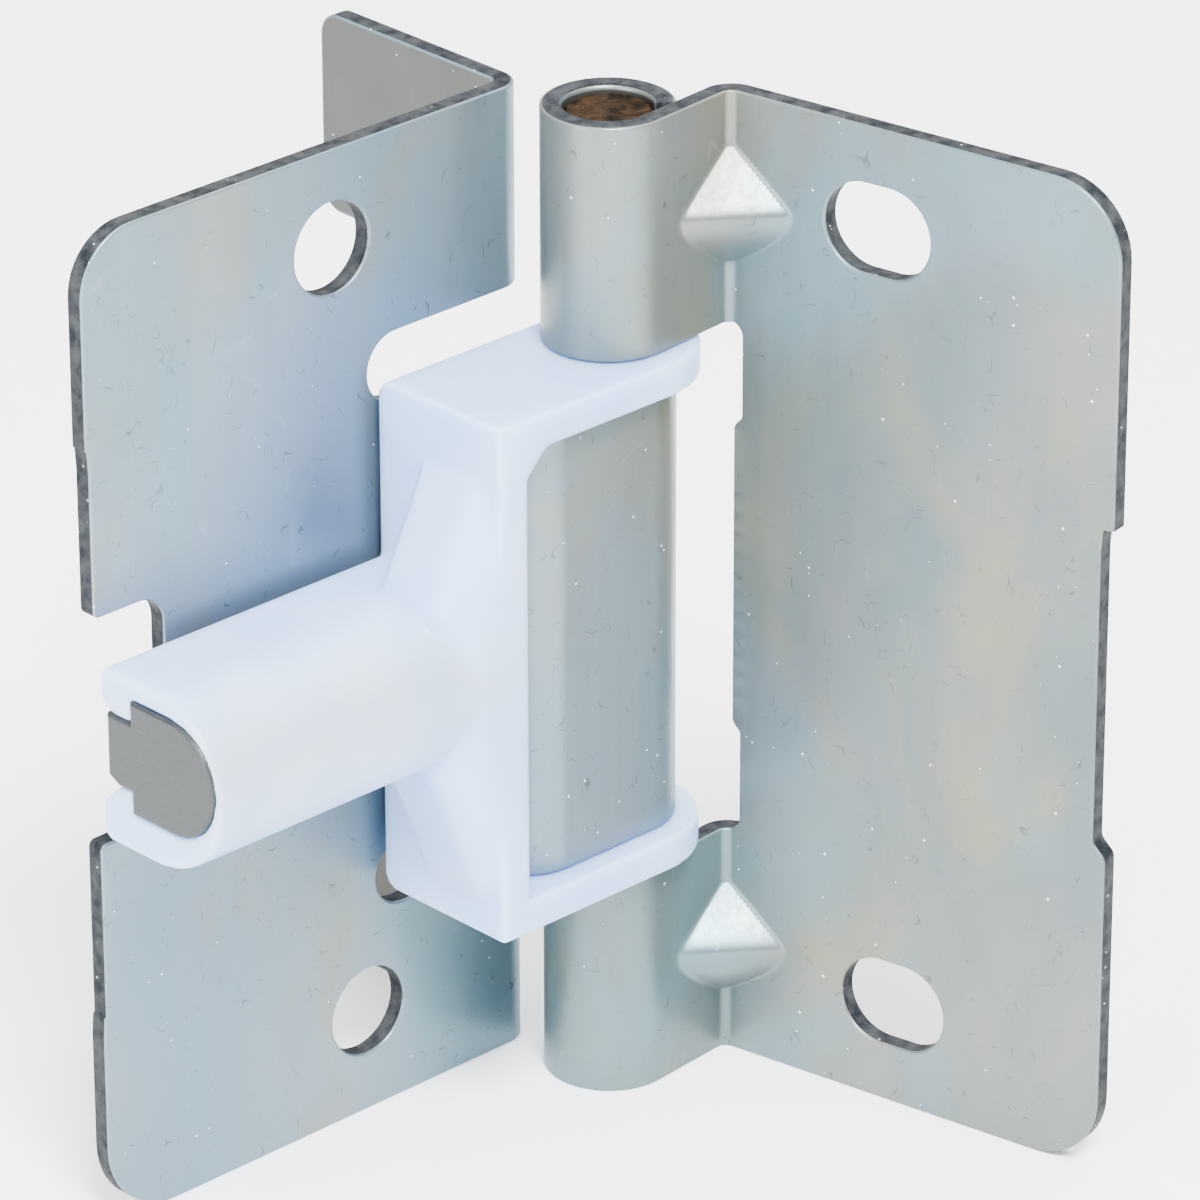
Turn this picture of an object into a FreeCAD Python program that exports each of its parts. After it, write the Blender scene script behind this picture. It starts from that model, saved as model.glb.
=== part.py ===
import FreeCAD, Part

import math
import os

import Sketcher

# A folding door hinge in millimetres: two pressed steel leaves on one upright pin,
# with a moulded arm on a steel core between them.
# The pin axis is the line x = y = 0 while a piece is drawn. Every piece is then moved
# together, so that the origin lies on the mounting face of the corner leaf, at half its height.

SIZES = [
    ("height", 76.2, "both leaves, along the pin"),
    ("sheet", 1.52, "thickness of both leaves"),
    ("bend_inside", 0.75, "inside radius of every sharp bend"),
    ("bore_radius", 3.3, "inside of the rolled knuckles"),
    ("seam_gap", 0.15, "between the end of a roll and its own strap"),
    ("gap", 0.15, "between neighbours along the pin"),
    ("pin_radius", 3.2, "hinge pin"),
    ("pin_recess", 0.5, "pin end below the rim of the knuckle"),
    ("pin_chamfer", 0.28, "edge of the pin's ends"),
    ("plate_front", 6.95, "front of the corner leaf, behind the pin axis"),
    ("plate_reach", 42.3, "outer edge of the corner leaf, from the pin axis"),
    ("edge_relief", 0.25, "middle of that edge, cut back"),
    ("relief_bottom", 16.75, "lower end of the cut back stretch"),
    ("relief_drop", 15.7, "upper end of the cut back stretch, below the top"),
    ("top_round", 4.6, "upper outer corner of the corner leaf"),
    ("bottom_round", 6.2, "lower outer corner of the corner leaf"),
    ("notch_reach", 35.8, "bottom of the notch in the outer edge"),
    ("notch_below", 8.05, "notch, below the middle of the tube"),
    ("notch_above", 9.45, "notch, above the middle of the tube"),
    ("notch_round", 2.2, "inner corners of the notch"),
    ("hole_radius", 3.45, "screw holes of the corner leaf"),
    ("top_hole_reach", 19.7, "upper screw hole, from the pin axis"),
    ("top_hole_drop", 7.3, "upper screw hole, below the top"),
    ("low_hole_reach", 17.5, "lower screw hole, from the pin axis"),
    ("low_hole_height", 8.05, "lower screw hole"),
    ("ear_face", 1.2, "outer face of the ears, left of the pin axis"),
    ("ear_depth", 20.0, "ears, from the front of the plate"),
    ("ear_round", 1.8, "free corners of the ears"),
    ("top_relief", 5.3, "slot between the upper ear and the strap"),
    ("low_relief", 5.2, "slot between the lower ear and the strap"),
    ("strap_reach", 13.2, "outer face of the strap's leg, from the pin axis"),
    ("strap_bend", 4.5, "outside radius of the strap's front bend"),
    ("leaf_angle", -79.26, "direction of the knuckle leaf from the x axis"),
    ("leaf_front", 6.84, "front of the knuckle leaf, from the pin axis"),
    ("leaf_reach", 37.93, "outer edge of the knuckle leaf"),
    ("leaf_round", 5.5, "outer corners of the knuckle leaf"),
    ("strip_bend", 6.24, "centre of the bend between strip and plate"),
    ("low_strip", 18.1, "upper edge of the lower strip"),
    ("top_knuckle", 17.7, "length of the upper strip and knuckle"),
    ("window_edge", 6.7, "plate's edge between the strips"),
    ("window_round", 1.0, "inner corners of the window"),
    ("window_step", 0.8, "middle of that edge, standing out to the pin"),
    ("step_rise", 8.9, "start of the stretch that stands out, above the lower strip"),
    ("step_drop", 8.1, "end of the stretch that stands out, below the upper strip"),
    ("slot_radius", 3.4, "half the height of a slot"),
    ("slot_length", 8.8, "slot from end to end"),
    ("top_slot_reach", 18.0, "middle of the upper slot"),
    ("top_slot_drop", 7.7, "middle of the upper slot, below the top"),
    ("low_slot_reach", 20.3, "middle of the lower slot"),
    ("low_slot_height", 7.95, "middle of the lower slot"),
    ("recess_depth", 1.05, "recess in the outer edge"),
    ("recess_below", 12.15, "recess, below the middle of the tube"),
    ("recess_above", 12.25, "recess, above the middle of the tube"),
    ("recess_round", 0.9, "lower inner corner of the recess"),
    ("gusset_leg", 5.2, "gusset, along the plate and along the strip"),
    ("gusset_half", 4.2, "gusset, half its height"),
    ("gusset_round", 1.1, "crest of the gusset"),
    ("top_gusset_drop", 8.5, "middle of the upper gusset, below the top"),
    ("low_gusset", 9.4, "middle of the lower gusset"),
    ("block_radius", 6.5, "round end of the block and its front face"),
    ("block_room", 0.85, "between the back of the block and the plate"),
    ("strap_room", 0.6, "between the strap and the end wall of the block"),
    ("block_wall", 2.7, "end wall of the block"),
    ("flange", 2.6, "flanges round the pin"),
    ("block_round", 1.2, "long back edges of the block"),
    ("corner_web", 1.8, "web in the upper corner of the opening"),
    ("web_depth", 1.5, "thickness of that web, from the front"),
    ("bore_clearance", 0.1, "bore of the flanges round the pin"),
    ("arm_reach", 42.8, "outer end of the arm, from the pin axis"),
    ("tube_inset", 0.2, "flat back of the tube, in front of the block's"),
    ("tube_radius", 6.65, "round front of the tube"),
    ("tube_step", 0.1, "front of the tube, behind the block's"),
    ("tube_height", 38.45, "middle of the tube"),
    ("tube_round", 0.8, "long back edges of the tube"),
    ("shoulder_length", 4.4, "shoulder between the block and the tube"),
    ("shoulder_back", 1.3, "back face of the shoulder"),
    ("shoulder_drop", 4.35, "upper end of the shoulder, below the block's top"),
    ("shoulder_rise", 2.45, "lower end of the shoulder, above the block's underside"),
    ("shoulder_round", 3.2, "front edges of the shoulder"),
    ("tube_soft", 0.4, "outer edge of the tube's end"),
    ("core_radius", 4.36, "round front of the core, half its height"),
    ("core_middle", -1.45, "centre of the core's round front, behind the pin axis"),
    ("core_shelf", 2.75, "flat back of the core beside its rib, behind the pin axis"),
    ("core_rise", 0.65, "middle of the core, above the middle of the tube"),
    ("core_round", 0.3, "outer edge of the core's end"),
    ("rib_half", 2.65, "half the height of the core's rib"),
    ("rib_bevel", 0.55, "lower back edge of the rib, raised"),
    ("bevel_depth", 1.1, "depth of that slope"),
    ("rib_inset", 0.7, "back edge of the rib, inside the back of the tube"),
    ("core_fit", 0.05, "round the core in its tube"),
    ("core_seat", 1.2, "core, into the end wall of the block"),
    ("lip_flare", 1.7, "lower lip of the tube's slot, lowered at the back"),
    ("lip_depth", 1.8, "depth of that slope"),
    ("origin_reach", 18.6, "origin on the corner leaf, from the pin axis"),
]

FOLLOWERS = [
    ("knuckle_radius", "bore_radius + sheet", "outside of the rolled knuckles"),
    ("top_strip", "height - top_knuckle", "lower edge of the upper strip"),
    ("step_low", "low_strip + step_rise", "lower end of the stretch that stands out"),
    ("step_high", "top_strip - step_drop", "upper end of the stretch that stands out"),
    ("block_low", "low_strip + gap", "underside of the block"),
    ("block_high", "top_strip - gap", "top of the block"),
    ("strap_low", "block_low + flange + gap", "lower edge of the strap"),
    ("strap_high", "block_high - flange - gap", "upper edge of the strap"),
    ("low_ear", "strap_low - low_relief", "upper edge of the lower ear"),
    ("top_ear", "strap_high + top_relief", "lower edge of the upper ear"),
    ("relief_top", "height - relief_drop", "upper end of the cut back stretch"),
    ("notch_low", "tube_height - notch_below", "lower side of the notch"),
    ("notch_high", "tube_height + notch_above", "upper side of the notch"),
    ("top_hole_height", "height - top_hole_drop", "upper screw hole"),
    ("top_slot_height", "height - top_slot_drop", "middle of the upper slot"),
    ("recess_low", "tube_height - recess_below", "lower end of the recess"),
    ("recess_high", "tube_height + recess_above", "upper end of the recess"),
    ("top_gusset", "height - top_gusset_drop", "middle of the upper gusset"),
    ("block_back", "plate_front - block_room", "back face of the block"),
    ("block_reach", "strap_reach + strap_room + block_wall", "outer end of the block"),
    ("tube_back", "block_back - tube_inset", "flat back of the tube"),
    ("tube_middle", "tube_radius + tube_step - block_radius", "centre of the tube's round front"),
    ("shoulder_reach", "block_reach + shoulder_length", "outer end of the shoulder"),
    ("shoulder_high", "block_high - shoulder_drop", "upper end of the shoulder on the block"),
    ("shoulder_low", "block_low + shoulder_rise", "lower end of the shoulder on the block"),
    ("core_height", "tube_height + core_rise", "middle of the core"),
    ("core_end", "block_reach - core_seat", "inner end of the core, from the pin axis"),
    ("rib_back", "tube_back - rib_inset", "back edge of the rib"),
]

doc = FreeCAD.newDocument("folding_door_hinge")
sheet = doc.addObject("Spreadsheet::Sheet", "sizes")
ROWS = [(alias, str(value), meaning) for alias, value, meaning in SIZES]
ROWS += [(alias, "=" + formula, meaning) for alias, formula, meaning in FOLLOWERS]
for row, (alias, content, meaning) in enumerate(ROWS, start=1):
    sheet.set("A%d" % row, content)
    sheet.setAlias("A%d" % row, alias)
    sheet.set("B%d" % row, meaning)
doc.recompute()


def size(expression):
    """Value of an expression of the sheet's sizes."""
    return float(sheet.evalExpression(expression))


def make_body(label):
    """Empty body of one piece."""
    body = doc.addObject("PartDesign::Body", label)
    body.Label = label
    return body


def place(body, turn="0"):
    """Turn a finished piece about the pin axis and carry it to the common origin."""
    base = "vector(sizes.origin_reach; -(sizes.plate_front + sizes.sheet); -sizes.height / 2)"
    spin = "rotation(vector(0; 0; 1); %s)" % turn
    body.setExpression("Placement", "placement(%s; %s)" % (base, spin))


def make_sketch(body, name, role, offset="0"):
    """Sketch on one of the body's own planes, moved along the plane's normal."""
    sketch = body.newObject("Sketcher::SketchObject", name)
    plane = [item for item in body.Origin.OriginFeatures if item.Role == role][0]
    sketch.AttachmentSupport = [(plane, "")]
    sketch.MapMode = "FlatFace"
    sketch.setExpression("AttachmentOffset.Base.z", offset)
    return sketch


def hold(sketch, kind, *items, to):
    """Add a constraint whose value follows an expression of the sheet."""
    index = sketch.addConstraint(Sketcher.Constraint(kind, *items, size(to)))
    sketch.setExpression("Constraints[%d]" % index, to)


def hold_point(sketch, piece, end, across, up):
    """Hold one end of a sketch element at a place measured from the origin."""
    hold(sketch, "DistanceX", -1, 1, piece, end, to=across)
    hold(sketch, "DistanceY", -1, 1, piece, end, to=up)


def polygon(sketch, corners):
    """Closed outline of straight lines, with each corner held by two expressions."""
    places = [(size(across), size(up)) for across, up in corners]
    first = sketch.GeometryCount
    count = len(corners)
    for index in range(count):
        start = FreeCAD.Vector(*places[index], 0)
        end = FreeCAD.Vector(*places[(index + 1) % count], 0)
        sketch.addGeometry(Part.LineSegment(start, end), False)
    for index in range(count):
        following = first + (index + 1) % count
        sketch.addConstraint(Sketcher.Constraint("Coincident", first + index, 2, following, 1))
    for index, (across, up) in enumerate(corners):
        hold_point(sketch, first + index, 1, across, up)


def circle(sketch, across, up, radius):
    """Circle whose middle and radius follow expressions."""
    middle = FreeCAD.Vector(size(across), size(up), 0)
    normal = FreeCAD.Vector(0, 0, 1)
    piece = sketch.addGeometry(Part.Circle(middle, normal, size(radius)), False)
    hold_point(sketch, piece, 3, across, up)
    hold(sketch, "Radius", piece, to=radius)


def line(start, end):
    """Straight element of a chain: from start to end."""
    return ("line", start, end)


def arc(middle, radius, start_angle, end_angle):
    """Round element of a chain: anticlockwise where the end angle is the larger one."""
    return ("arc", middle, radius, start_angle, end_angle)


def chain(sketch, elements, sharp):
    """Closed chain of lines and arcs that meet smoothly, apart from the joints in sharp.

    Joint number i lies between element i and the one after it.
    Gives a list with the index, entry end and exit end of each element.
    """
    pieces = []
    for element in elements:
        if element[0] == "line":
            ends = [FreeCAD.Vector(point[0], point[1], 0) for point in element[1:]]
            pieces.append((sketch.addGeometry(Part.LineSegment(*ends), False), 1, 2))
            continue
        middle, radius, start, end = element[1:]
        ring = Part.Circle(FreeCAD.Vector(*middle, 0), FreeCAD.Vector(0, 0, 1), radius)
        low, high = math.radians(min(start, end)), math.radians(max(start, end))
        index = sketch.addGeometry(Part.ArcOfCircle(ring, low, high), False)
        pieces.append((index, 1, 2) if end > start else (index, 2, 1))
    for number, (index, _, leaving) in enumerate(pieces):
        following, entering, _ = pieces[(number + 1) % len(pieces)]
        kind = "Coincident" if number in sharp else "Tangent"
        sketch.addConstraint(Sketcher.Constraint(kind, index, leaving, following, entering))
    return pieces


def pad(body, name, sketch, length):
    """Solid of the sketch, along its normal."""
    feature = body.newObject("PartDesign::Pad", name)
    feature.Profile = sketch
    feature.setExpression("Length", length)
    doc.recompute()
    return feature


def cut_through(body, name, sketch):
    """Cut the sketch through the whole piece, on both sides of its plane."""
    feature = body.newObject("PartDesign::Pocket", name)
    feature.Profile = sketch
    feature.Type = "ThroughAll"
    feature.Midplane = True
    before = feature.BaseFeature.Shape.Volume
    doc.recompute()
    if feature.Shape.Volume >= before:
        raise RuntimeError("%s cuts nothing" % name)
    return feature


def cut_depth(body, name, sketch, depth, backwards=False):
    """Cut the sketch to a depth."""
    feature = body.newObject("PartDesign::Pocket", name)
    feature.Profile = sketch
    feature.Reversed = backwards
    feature.setExpression("Length", depth)
    before = feature.BaseFeature.Shape.Volume
    doc.recompute()
    if feature.Shape.Volume >= before:
        raise RuntimeError("%s cuts nothing" % name)
    return feature


def edges_of(feature, wanted):
    """Names of the feature's edges that pass a test of their middle and their direction."""
    names = []
    for index, edge in enumerate(feature.Shape.Edges, start=1):
        start, end = edge.Vertexes[0].Point, edge.Vertexes[-1].Point
        if wanted(edge, (start + end) * 0.5, end - start):
            names.append("Edge%d" % index)
    return names


def round_edges(body, name, feature, wanted, radius):
    """Fillet the edges that pass the test."""
    names = edges_of(feature, wanted)
    if not names:
        raise RuntimeError("%s finds no edge" % name)
    fillet = body.newObject("PartDesign::Fillet", name)
    fillet.Base = (feature, names)
    fillet.setExpression("Radius", radius)
    doc.recompute()
    return fillet


def near(value, expression, margin=0.01):
    """Whether a value lies at the place that an expression gives."""
    return abs(value - size(expression)) < margin


def across_plate(direction):
    """Whether an edge runs straight through the thickness of a plate."""
    return abs(direction.x) < 0.001 and abs(direction.z) < 0.001 and abs(direction.y) > 0.1


def round_corner(body, name, feature, across, up, radius):
    """Round one corner of a plate's outline."""
    def wanted(edge, middle, direction):
        return across_plate(direction) and near(middle.x, across) and near(middle.z, up)
    return round_edges(body, name, feature, wanted, radius)


def corner_leaf_section(sketch):
    """Plate and ear in plan: two straight walls and one bend."""
    front, reach, face = size("sizes.plate_front"), size("sizes.plate_reach"), size("sizes.ear_face")
    sheet_size, inside = size("sizes.sheet"), size("sizes.bend_inside")
    outside, back, end = inside + sheet_size, front + sheet_size, front + size("sizes.ear_depth")
    middle = (-face - outside, front + outside)
    pieces = chain(sketch, [
        line((-reach, front), (middle[0], front)),
        arc(middle, outside, -90, 0),
        line((-face, middle[1]), (-face, end)),
        line((-face, end), (-face - sheet_size, end)),
        line((-face - sheet_size, end), (-face - sheet_size, middle[1])),
        arc(middle, inside, 0, -90),
        line((middle[0], back), (-reach, back)),
        line((-reach, back), (-reach, front)),
    ], sharp=(2, 3, 6, 7))
    index = [piece[0] for piece in pieces]
    for horizontal in (index[0], index[3], index[6]):
        sketch.addConstraint(Sketcher.Constraint("Horizontal", horizontal))
    for upright in (index[2], index[4], index[7]):
        sketch.addConstraint(Sketcher.Constraint("Vertical", upright))
    sketch.addConstraint(Sketcher.Constraint("Coincident", index[1], 3, index[5], 3))
    hold(sketch, "Radius", index[5], to="sizes.bend_inside")
    hold(sketch, "Radius", index[1], to="sizes.bend_inside + sizes.sheet")
    hold_point(sketch, index[0], 1, "-sizes.plate_reach", "sizes.plate_front")
    hold_point(sketch, index[3], 1, "-sizes.ear_face", "sizes.plate_front + sizes.ear_depth")


def strap_section(sketch):
    """Middle strap in plan: bent forward, round to the front of the pin and rolled about it."""
    front, reach = size("sizes.plate_front"), size("sizes.strap_reach")
    sheet_size, inside = size("sizes.sheet"), size("sizes.bend_inside")
    bore, knuckle = size("sizes.bore_radius"), size("sizes.knuckle_radius")
    turn = size("sizes.strap_bend")
    root = -reach - inside - sheet_size
    first = (-reach - inside, front - inside)
    second = (turn - reach, turn - knuckle)
    seam = 180 + math.degrees(math.asin((bore - size("sizes.seam_gap")) / knuckle))
    along = (math.cos(math.radians(seam)), math.sin(math.radians(seam)))
    pieces = chain(sketch, [
        line((root, front), (first[0], front)),
        arc(first, inside, 90, 0),
        line((-reach, first[1]), (-reach, second[1])),
        arc(second, turn, 180, 270),
        line((second[0], -knuckle), (0, -knuckle)),
        arc((0, 0), knuckle, -90, seam),
        line((knuckle * along[0], knuckle * along[1]), (bore * along[0], bore * along[1])),
        arc((0, 0), bore, seam, -90),
        line((0, -bore), (second[0], -bore)),
        arc(second, turn - sheet_size, 270, 180),
        line((sheet_size - reach, second[1]), (sheet_size - reach, first[1])),
        arc(first, inside + sheet_size, 0, 90),
        line((first[0], front + sheet_size), (root, front + sheet_size)),
        line((root, front + sheet_size), (root, front)),
    ], sharp=(5, 6, 12, 13))
    index = [piece[0] for piece in pieces]
    for horizontal in (index[0], index[4], index[8], index[12]):
        sketch.addConstraint(Sketcher.Constraint("Horizontal", horizontal))
    for upright in (index[2], index[10], index[13]):
        sketch.addConstraint(Sketcher.Constraint("Vertical", upright))
    sketch.addConstraint(Sketcher.Constraint("Coincident", index[1], 3, index[11], 3))
    sketch.addConstraint(Sketcher.Constraint("Coincident", index[5], 3, -1, 1))
    sketch.addConstraint(Sketcher.Constraint("Coincident", index[7], 3, -1, 1))
    sketch.addConstraint(Sketcher.Constraint("PointOnObject", -1, 1, index[6]))
    hold(sketch, "Radius", index[1], to="sizes.bend_inside")
    hold(sketch, "Radius", index[11], to="sizes.bend_inside + sizes.sheet")
    hold(sketch, "Radius", index[3], to="sizes.strap_bend")
    hold(sketch, "Radius", index[9], to="sizes.strap_bend - sizes.sheet")
    hold(sketch, "Radius", index[7], to="sizes.bore_radius")
    hold(sketch, "Radius", index[5], to="sizes.knuckle_radius")
    hold(sketch, "Distance", index[6], 1, index[8], to="sizes.seam_gap")
    hold(sketch, "DistanceX", -1, 1, index[2], 1, to="-sizes.strap_reach")
    root_text = "-sizes.strap_reach - sizes.bend_inside - sizes.sheet"
    hold_point(sketch, index[0], 1, root_text, "sizes.plate_front")


def ear_gap_outline(sketch):
    """Gap between the ears and the two round ended slots above and below the strap."""
    top, low = size("sizes.top_ear"), size("sizes.low_ear")
    strap_top, strap_low = size("sizes.strap_high"), size("sizes.strap_low")
    slot_x = -size("sizes.strap_reach + sizes.bend_inside")
    right = size("sizes.sheet")
    pieces = chain(sketch, [
        line((right, top), (slot_x, top)),
        arc((slot_x, (top + strap_top) / 2), (top - strap_top) / 2, 90, 270),
        line((slot_x, strap_top), (slot_x, strap_low)),
        arc((slot_x, (strap_low + low) / 2), (strap_low - low) / 2, 90, 270),
        line((slot_x, low), (right, low)),
        line((right, low), (right, top)),
    ], sharp=(1, 2, 4, 5))
    index = [piece[0] for piece in pieces]
    for horizontal in (index[0], index[4]):
        sketch.addConstraint(Sketcher.Constraint("Horizontal", horizontal))
    slot_end = "-(sizes.strap_reach + sizes.bend_inside)"
    hold_point(sketch, index[2], 1, slot_end, "sizes.strap_high")
    hold_point(sketch, index[2], 2, slot_end, "sizes.strap_low")
    hold_point(sketch, index[5], 1, "sizes.sheet", "sizes.low_ear")
    hold_point(sketch, index[5], 2, "sizes.sheet", "sizes.top_ear")
    hold(sketch, "DistanceX", -1, 1, index[1], 3, to=slot_end)
    hold(sketch, "DistanceX", -1, 1, index[3], 3, to=slot_end)


def make_corner_leaf():
    """Large plate with two ears, a notched outer edge and the rolled middle strap."""
    body = make_body("corner_leaf")
    section = make_sketch(body, "leaf_section", "XY_Plane")
    corner_leaf_section(section)
    feature = pad(body, "plate_and_ear", section, "sizes.height")
    feature = round_corner(body, "top_corner", feature, "-sizes.plate_reach", "sizes.height",
                           "sizes.top_round")
    feature = round_corner(body, "bottom_corner", feature, "-sizes.plate_reach", "0",
                           "sizes.bottom_round")

    gap = make_sketch(body, "ear_gap", "XZ_Plane")
    ear_gap_outline(gap)
    feature = cut_through(body, "ears_parted", gap)

    def ear_corner(edge, middle, direction):
        on_end = near(middle.y, "sizes.plate_front + sizes.ear_depth")
        return on_end and abs(direction.z) < 0.001 and abs(direction.x) > 0.1
    feature = round_edges(body, "ear_corners", feature, ear_corner, "sizes.ear_round")

    relief = make_sketch(body, "outer_edge", "XZ_Plane")
    polygon(relief, [
        ("-sizes.plate_reach - sizes.sheet", "sizes.relief_bottom"),
        ("-sizes.plate_reach + sizes.edge_relief", "sizes.relief_bottom"),
        ("-sizes.plate_reach + sizes.edge_relief", "sizes.notch_low"),
        ("-sizes.notch_reach", "sizes.notch_low"),
        ("-sizes.notch_reach", "sizes.notch_high"),
        ("-sizes.plate_reach + sizes.edge_relief", "sizes.notch_high"),
        ("-sizes.plate_reach + sizes.edge_relief", "sizes.relief_top"),
        ("-sizes.plate_reach - sizes.sheet", "sizes.relief_top"),
    ])
    feature = cut_through(body, "edge_notch", relief)
    for name, side in (("notch_corner_low", "sizes.notch_low"), ("notch_corner_high", "sizes.notch_high")):
        feature = round_corner(body, name, feature, "-sizes.notch_reach", side, "sizes.notch_round")

    holes = make_sketch(body, "screw_holes", "XZ_Plane")
    circle(holes, "-sizes.top_hole_reach", "sizes.top_hole_height", "sizes.hole_radius")
    circle(holes, "-sizes.low_hole_reach", "sizes.low_hole_height", "sizes.hole_radius")
    cut_through(body, "holes_for_screws", holes)

    strap = make_sketch(body, "strap_section", "XY_Plane", "sizes.strap_low")
    strap_section(strap)
    pad(body, "strap", strap, "sizes.strap_high - sizes.strap_low")
    place(body)
    return body


def strip_direction():
    """Angle of the strip's outward normal, in the leaf's own frame, and the bend's middle."""
    inside = size("sizes.bend_inside")
    middle = (size("sizes.strip_bend"), size("sizes.leaf_front") - inside)
    distance = math.hypot(*middle)
    angle = math.atan2(middle[1], middle[0]) - math.acos((size("sizes.knuckle_radius") + inside) / distance)
    return math.degrees(angle), middle


def knuckle_leaf_section(sketch):
    """Plate, strip and roll in plan, in the leaf's own frame: the plate runs along x."""
    angle, middle = strip_direction()
    inside, sheet_size = size("sizes.bend_inside"), size("sizes.sheet")
    bore, knuckle = size("sizes.bore_radius"), size("sizes.knuckle_radius")
    front, reach = size("sizes.leaf_front"), size("sizes.leaf_reach")
    back = front + sheet_size
    normal = (math.cos(math.radians(angle)), math.sin(math.radians(angle)))
    seam = angle + math.degrees(math.acos((bore - size("sizes.seam_gap")) / knuckle))
    along = (math.cos(math.radians(seam)), math.sin(math.radians(seam)))

    def bend_point(radius):
        return (middle[0] - radius * normal[0], middle[1] - radius * normal[1])

    def ray(direction, radius):
        return (radius * direction[0], radius * direction[1])

    pieces = chain(sketch, [
        line((reach, front), (middle[0], front)),
        arc(middle, inside, 90, 180 + angle),
        line(bend_point(inside), ray(normal, knuckle)),
        arc((0, 0), knuckle, angle + 360, seam),
        line(ray(along, knuckle), ray(along, bore)),
        arc((0, 0), bore, seam, angle + 360),
        line(ray(normal, bore), bend_point(inside + sheet_size)),
        arc(middle, inside + sheet_size, 180 + angle, 90),
        line((middle[0], back), (reach, back)),
        line((reach, back), (reach, front)),
    ], sharp=(3, 4, 8, 9))
    index = [piece[0] for piece in pieces]
    for horizontal in (index[0], index[8]):
        sketch.addConstraint(Sketcher.Constraint("Horizontal", horizontal))
    sketch.addConstraint(Sketcher.Constraint("Vertical", index[9]))
    sketch.addConstraint(Sketcher.Constraint("Coincident", index[1], 3, index[7], 3))
    sketch.addConstraint(Sketcher.Constraint("Coincident", index[3], 3, -1, 1))
    sketch.addConstraint(Sketcher.Constraint("Coincident", index[5], 3, -1, 1))
    sketch.addConstraint(Sketcher.Constraint("PointOnObject", -1, 1, index[4]))
    hold(sketch, "Radius", index[1], to="sizes.bend_inside")
    hold(sketch, "Radius", index[7], to="sizes.bend_inside + sizes.sheet")
    hold(sketch, "Radius", index[5], to="sizes.bore_radius")
    hold(sketch, "Radius", index[3], to="sizes.knuckle_radius")
    hold(sketch, "DistanceX", -1, 1, index[1], 3, to="sizes.strip_bend")
    hold(sketch, "Distance", index[4], 1, index[6], to="sizes.seam_gap")
    hold_point(sketch, index[0], 1, "sizes.leaf_reach", "sizes.leaf_front")


def slot_outline(sketch, across, up):
    """Slot with round ends that lies along the plate."""
    radius, length = size("sizes.slot_radius"), size("sizes.slot_length")
    x, z = size(across), size(up)
    half = length / 2 - radius
    pieces = chain(sketch, [
        line((x - half, z - radius), (x + half, z - radius)),
        arc((x + half, z), radius, -90, 90),
        line((x + half, z + radius), (x - half, z + radius)),
        arc((x - half, z), radius, 90, 270),
    ], sharp=())
    index = [piece[0] for piece in pieces]
    sketch.addConstraint(Sketcher.Constraint("Horizontal", index[0]))
    hold(sketch, "Radius", index[1], to="sizes.slot_radius")
    shift = "(sizes.slot_length / 2 - sizes.slot_radius)"
    hold_point(sketch, index[1], 3, "%s + %s" % (across, shift), up)
    hold_point(sketch, index[3], 3, "%s - %s" % (across, shift), up)


def window_outline(sketch):
    """Window between the strips, with round inner corners and a middle stretch that stands out."""
    past, inner = size("-sizes.knuckle_radius - sizes.sheet"), size("sizes.window_edge")
    low, high, radius = size("sizes.low_strip"), size("sizes.top_strip"), size("sizes.window_round")
    stand, step_low, step_high = size("sizes.window_step"), size("sizes.step_low"), size("sizes.step_high")
    pieces = chain(sketch, [
        line((past, low), (inner - radius, low)),
        arc((inner - radius, low + radius), radius, -90, 0),
        line((inner, low + radius), (inner, step_low - stand)),
        line((inner, step_low - stand), (inner - stand, step_low)),
        line((inner - stand, step_low), (inner - stand, step_high)),
        line((inner - stand, step_high), (inner, step_high + stand)),
        line((inner, step_high + stand), (inner, high - radius)),
        arc((inner - radius, high - radius), radius, 0, 90),
        line((inner - radius, high), (past, high)),
        line((past, high), (past, low)),
    ], sharp=(2, 3, 4, 5, 8, 9))
    index = [piece[0] for piece in pieces]
    for horizontal in (index[0], index[8]):
        sketch.addConstraint(Sketcher.Constraint("Horizontal", horizontal))
    for upright in (index[2], index[6], index[9]):
        sketch.addConstraint(Sketcher.Constraint("Vertical", upright))
    hold_point(sketch, index[0], 1, "-sizes.knuckle_radius - sizes.sheet", "sizes.low_strip")
    hold(sketch, "DistanceY", -1, 1, index[8], 2, to="sizes.top_strip")
    hold_point(sketch, index[3], 1, "sizes.window_edge", "sizes.step_low - sizes.window_step")
    hold_point(sketch, index[4], 1, "sizes.window_edge - sizes.window_step", "sizes.step_low")
    hold_point(sketch, index[5], 1, "sizes.window_edge - sizes.window_step", "sizes.step_high")
    hold_point(sketch, index[6], 1, "sizes.window_edge", "sizes.step_high + sizes.window_step")
    hold(sketch, "Radius", index[1], to="sizes.window_round")
    hold(sketch, "Radius", index[7], to="sizes.window_round")


def inner_corner():
    """Where the front of the plate and the front of the strip would meet without a bend."""
    angle, middle = strip_direction()
    lean = math.radians(angle)
    front = size("sizes.leaf_front")
    across = (size("sizes.knuckle_radius") - front * math.sin(lean)) / math.cos(lean)
    down = (math.sin(lean), -math.cos(lean))
    return (across, front), down


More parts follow.
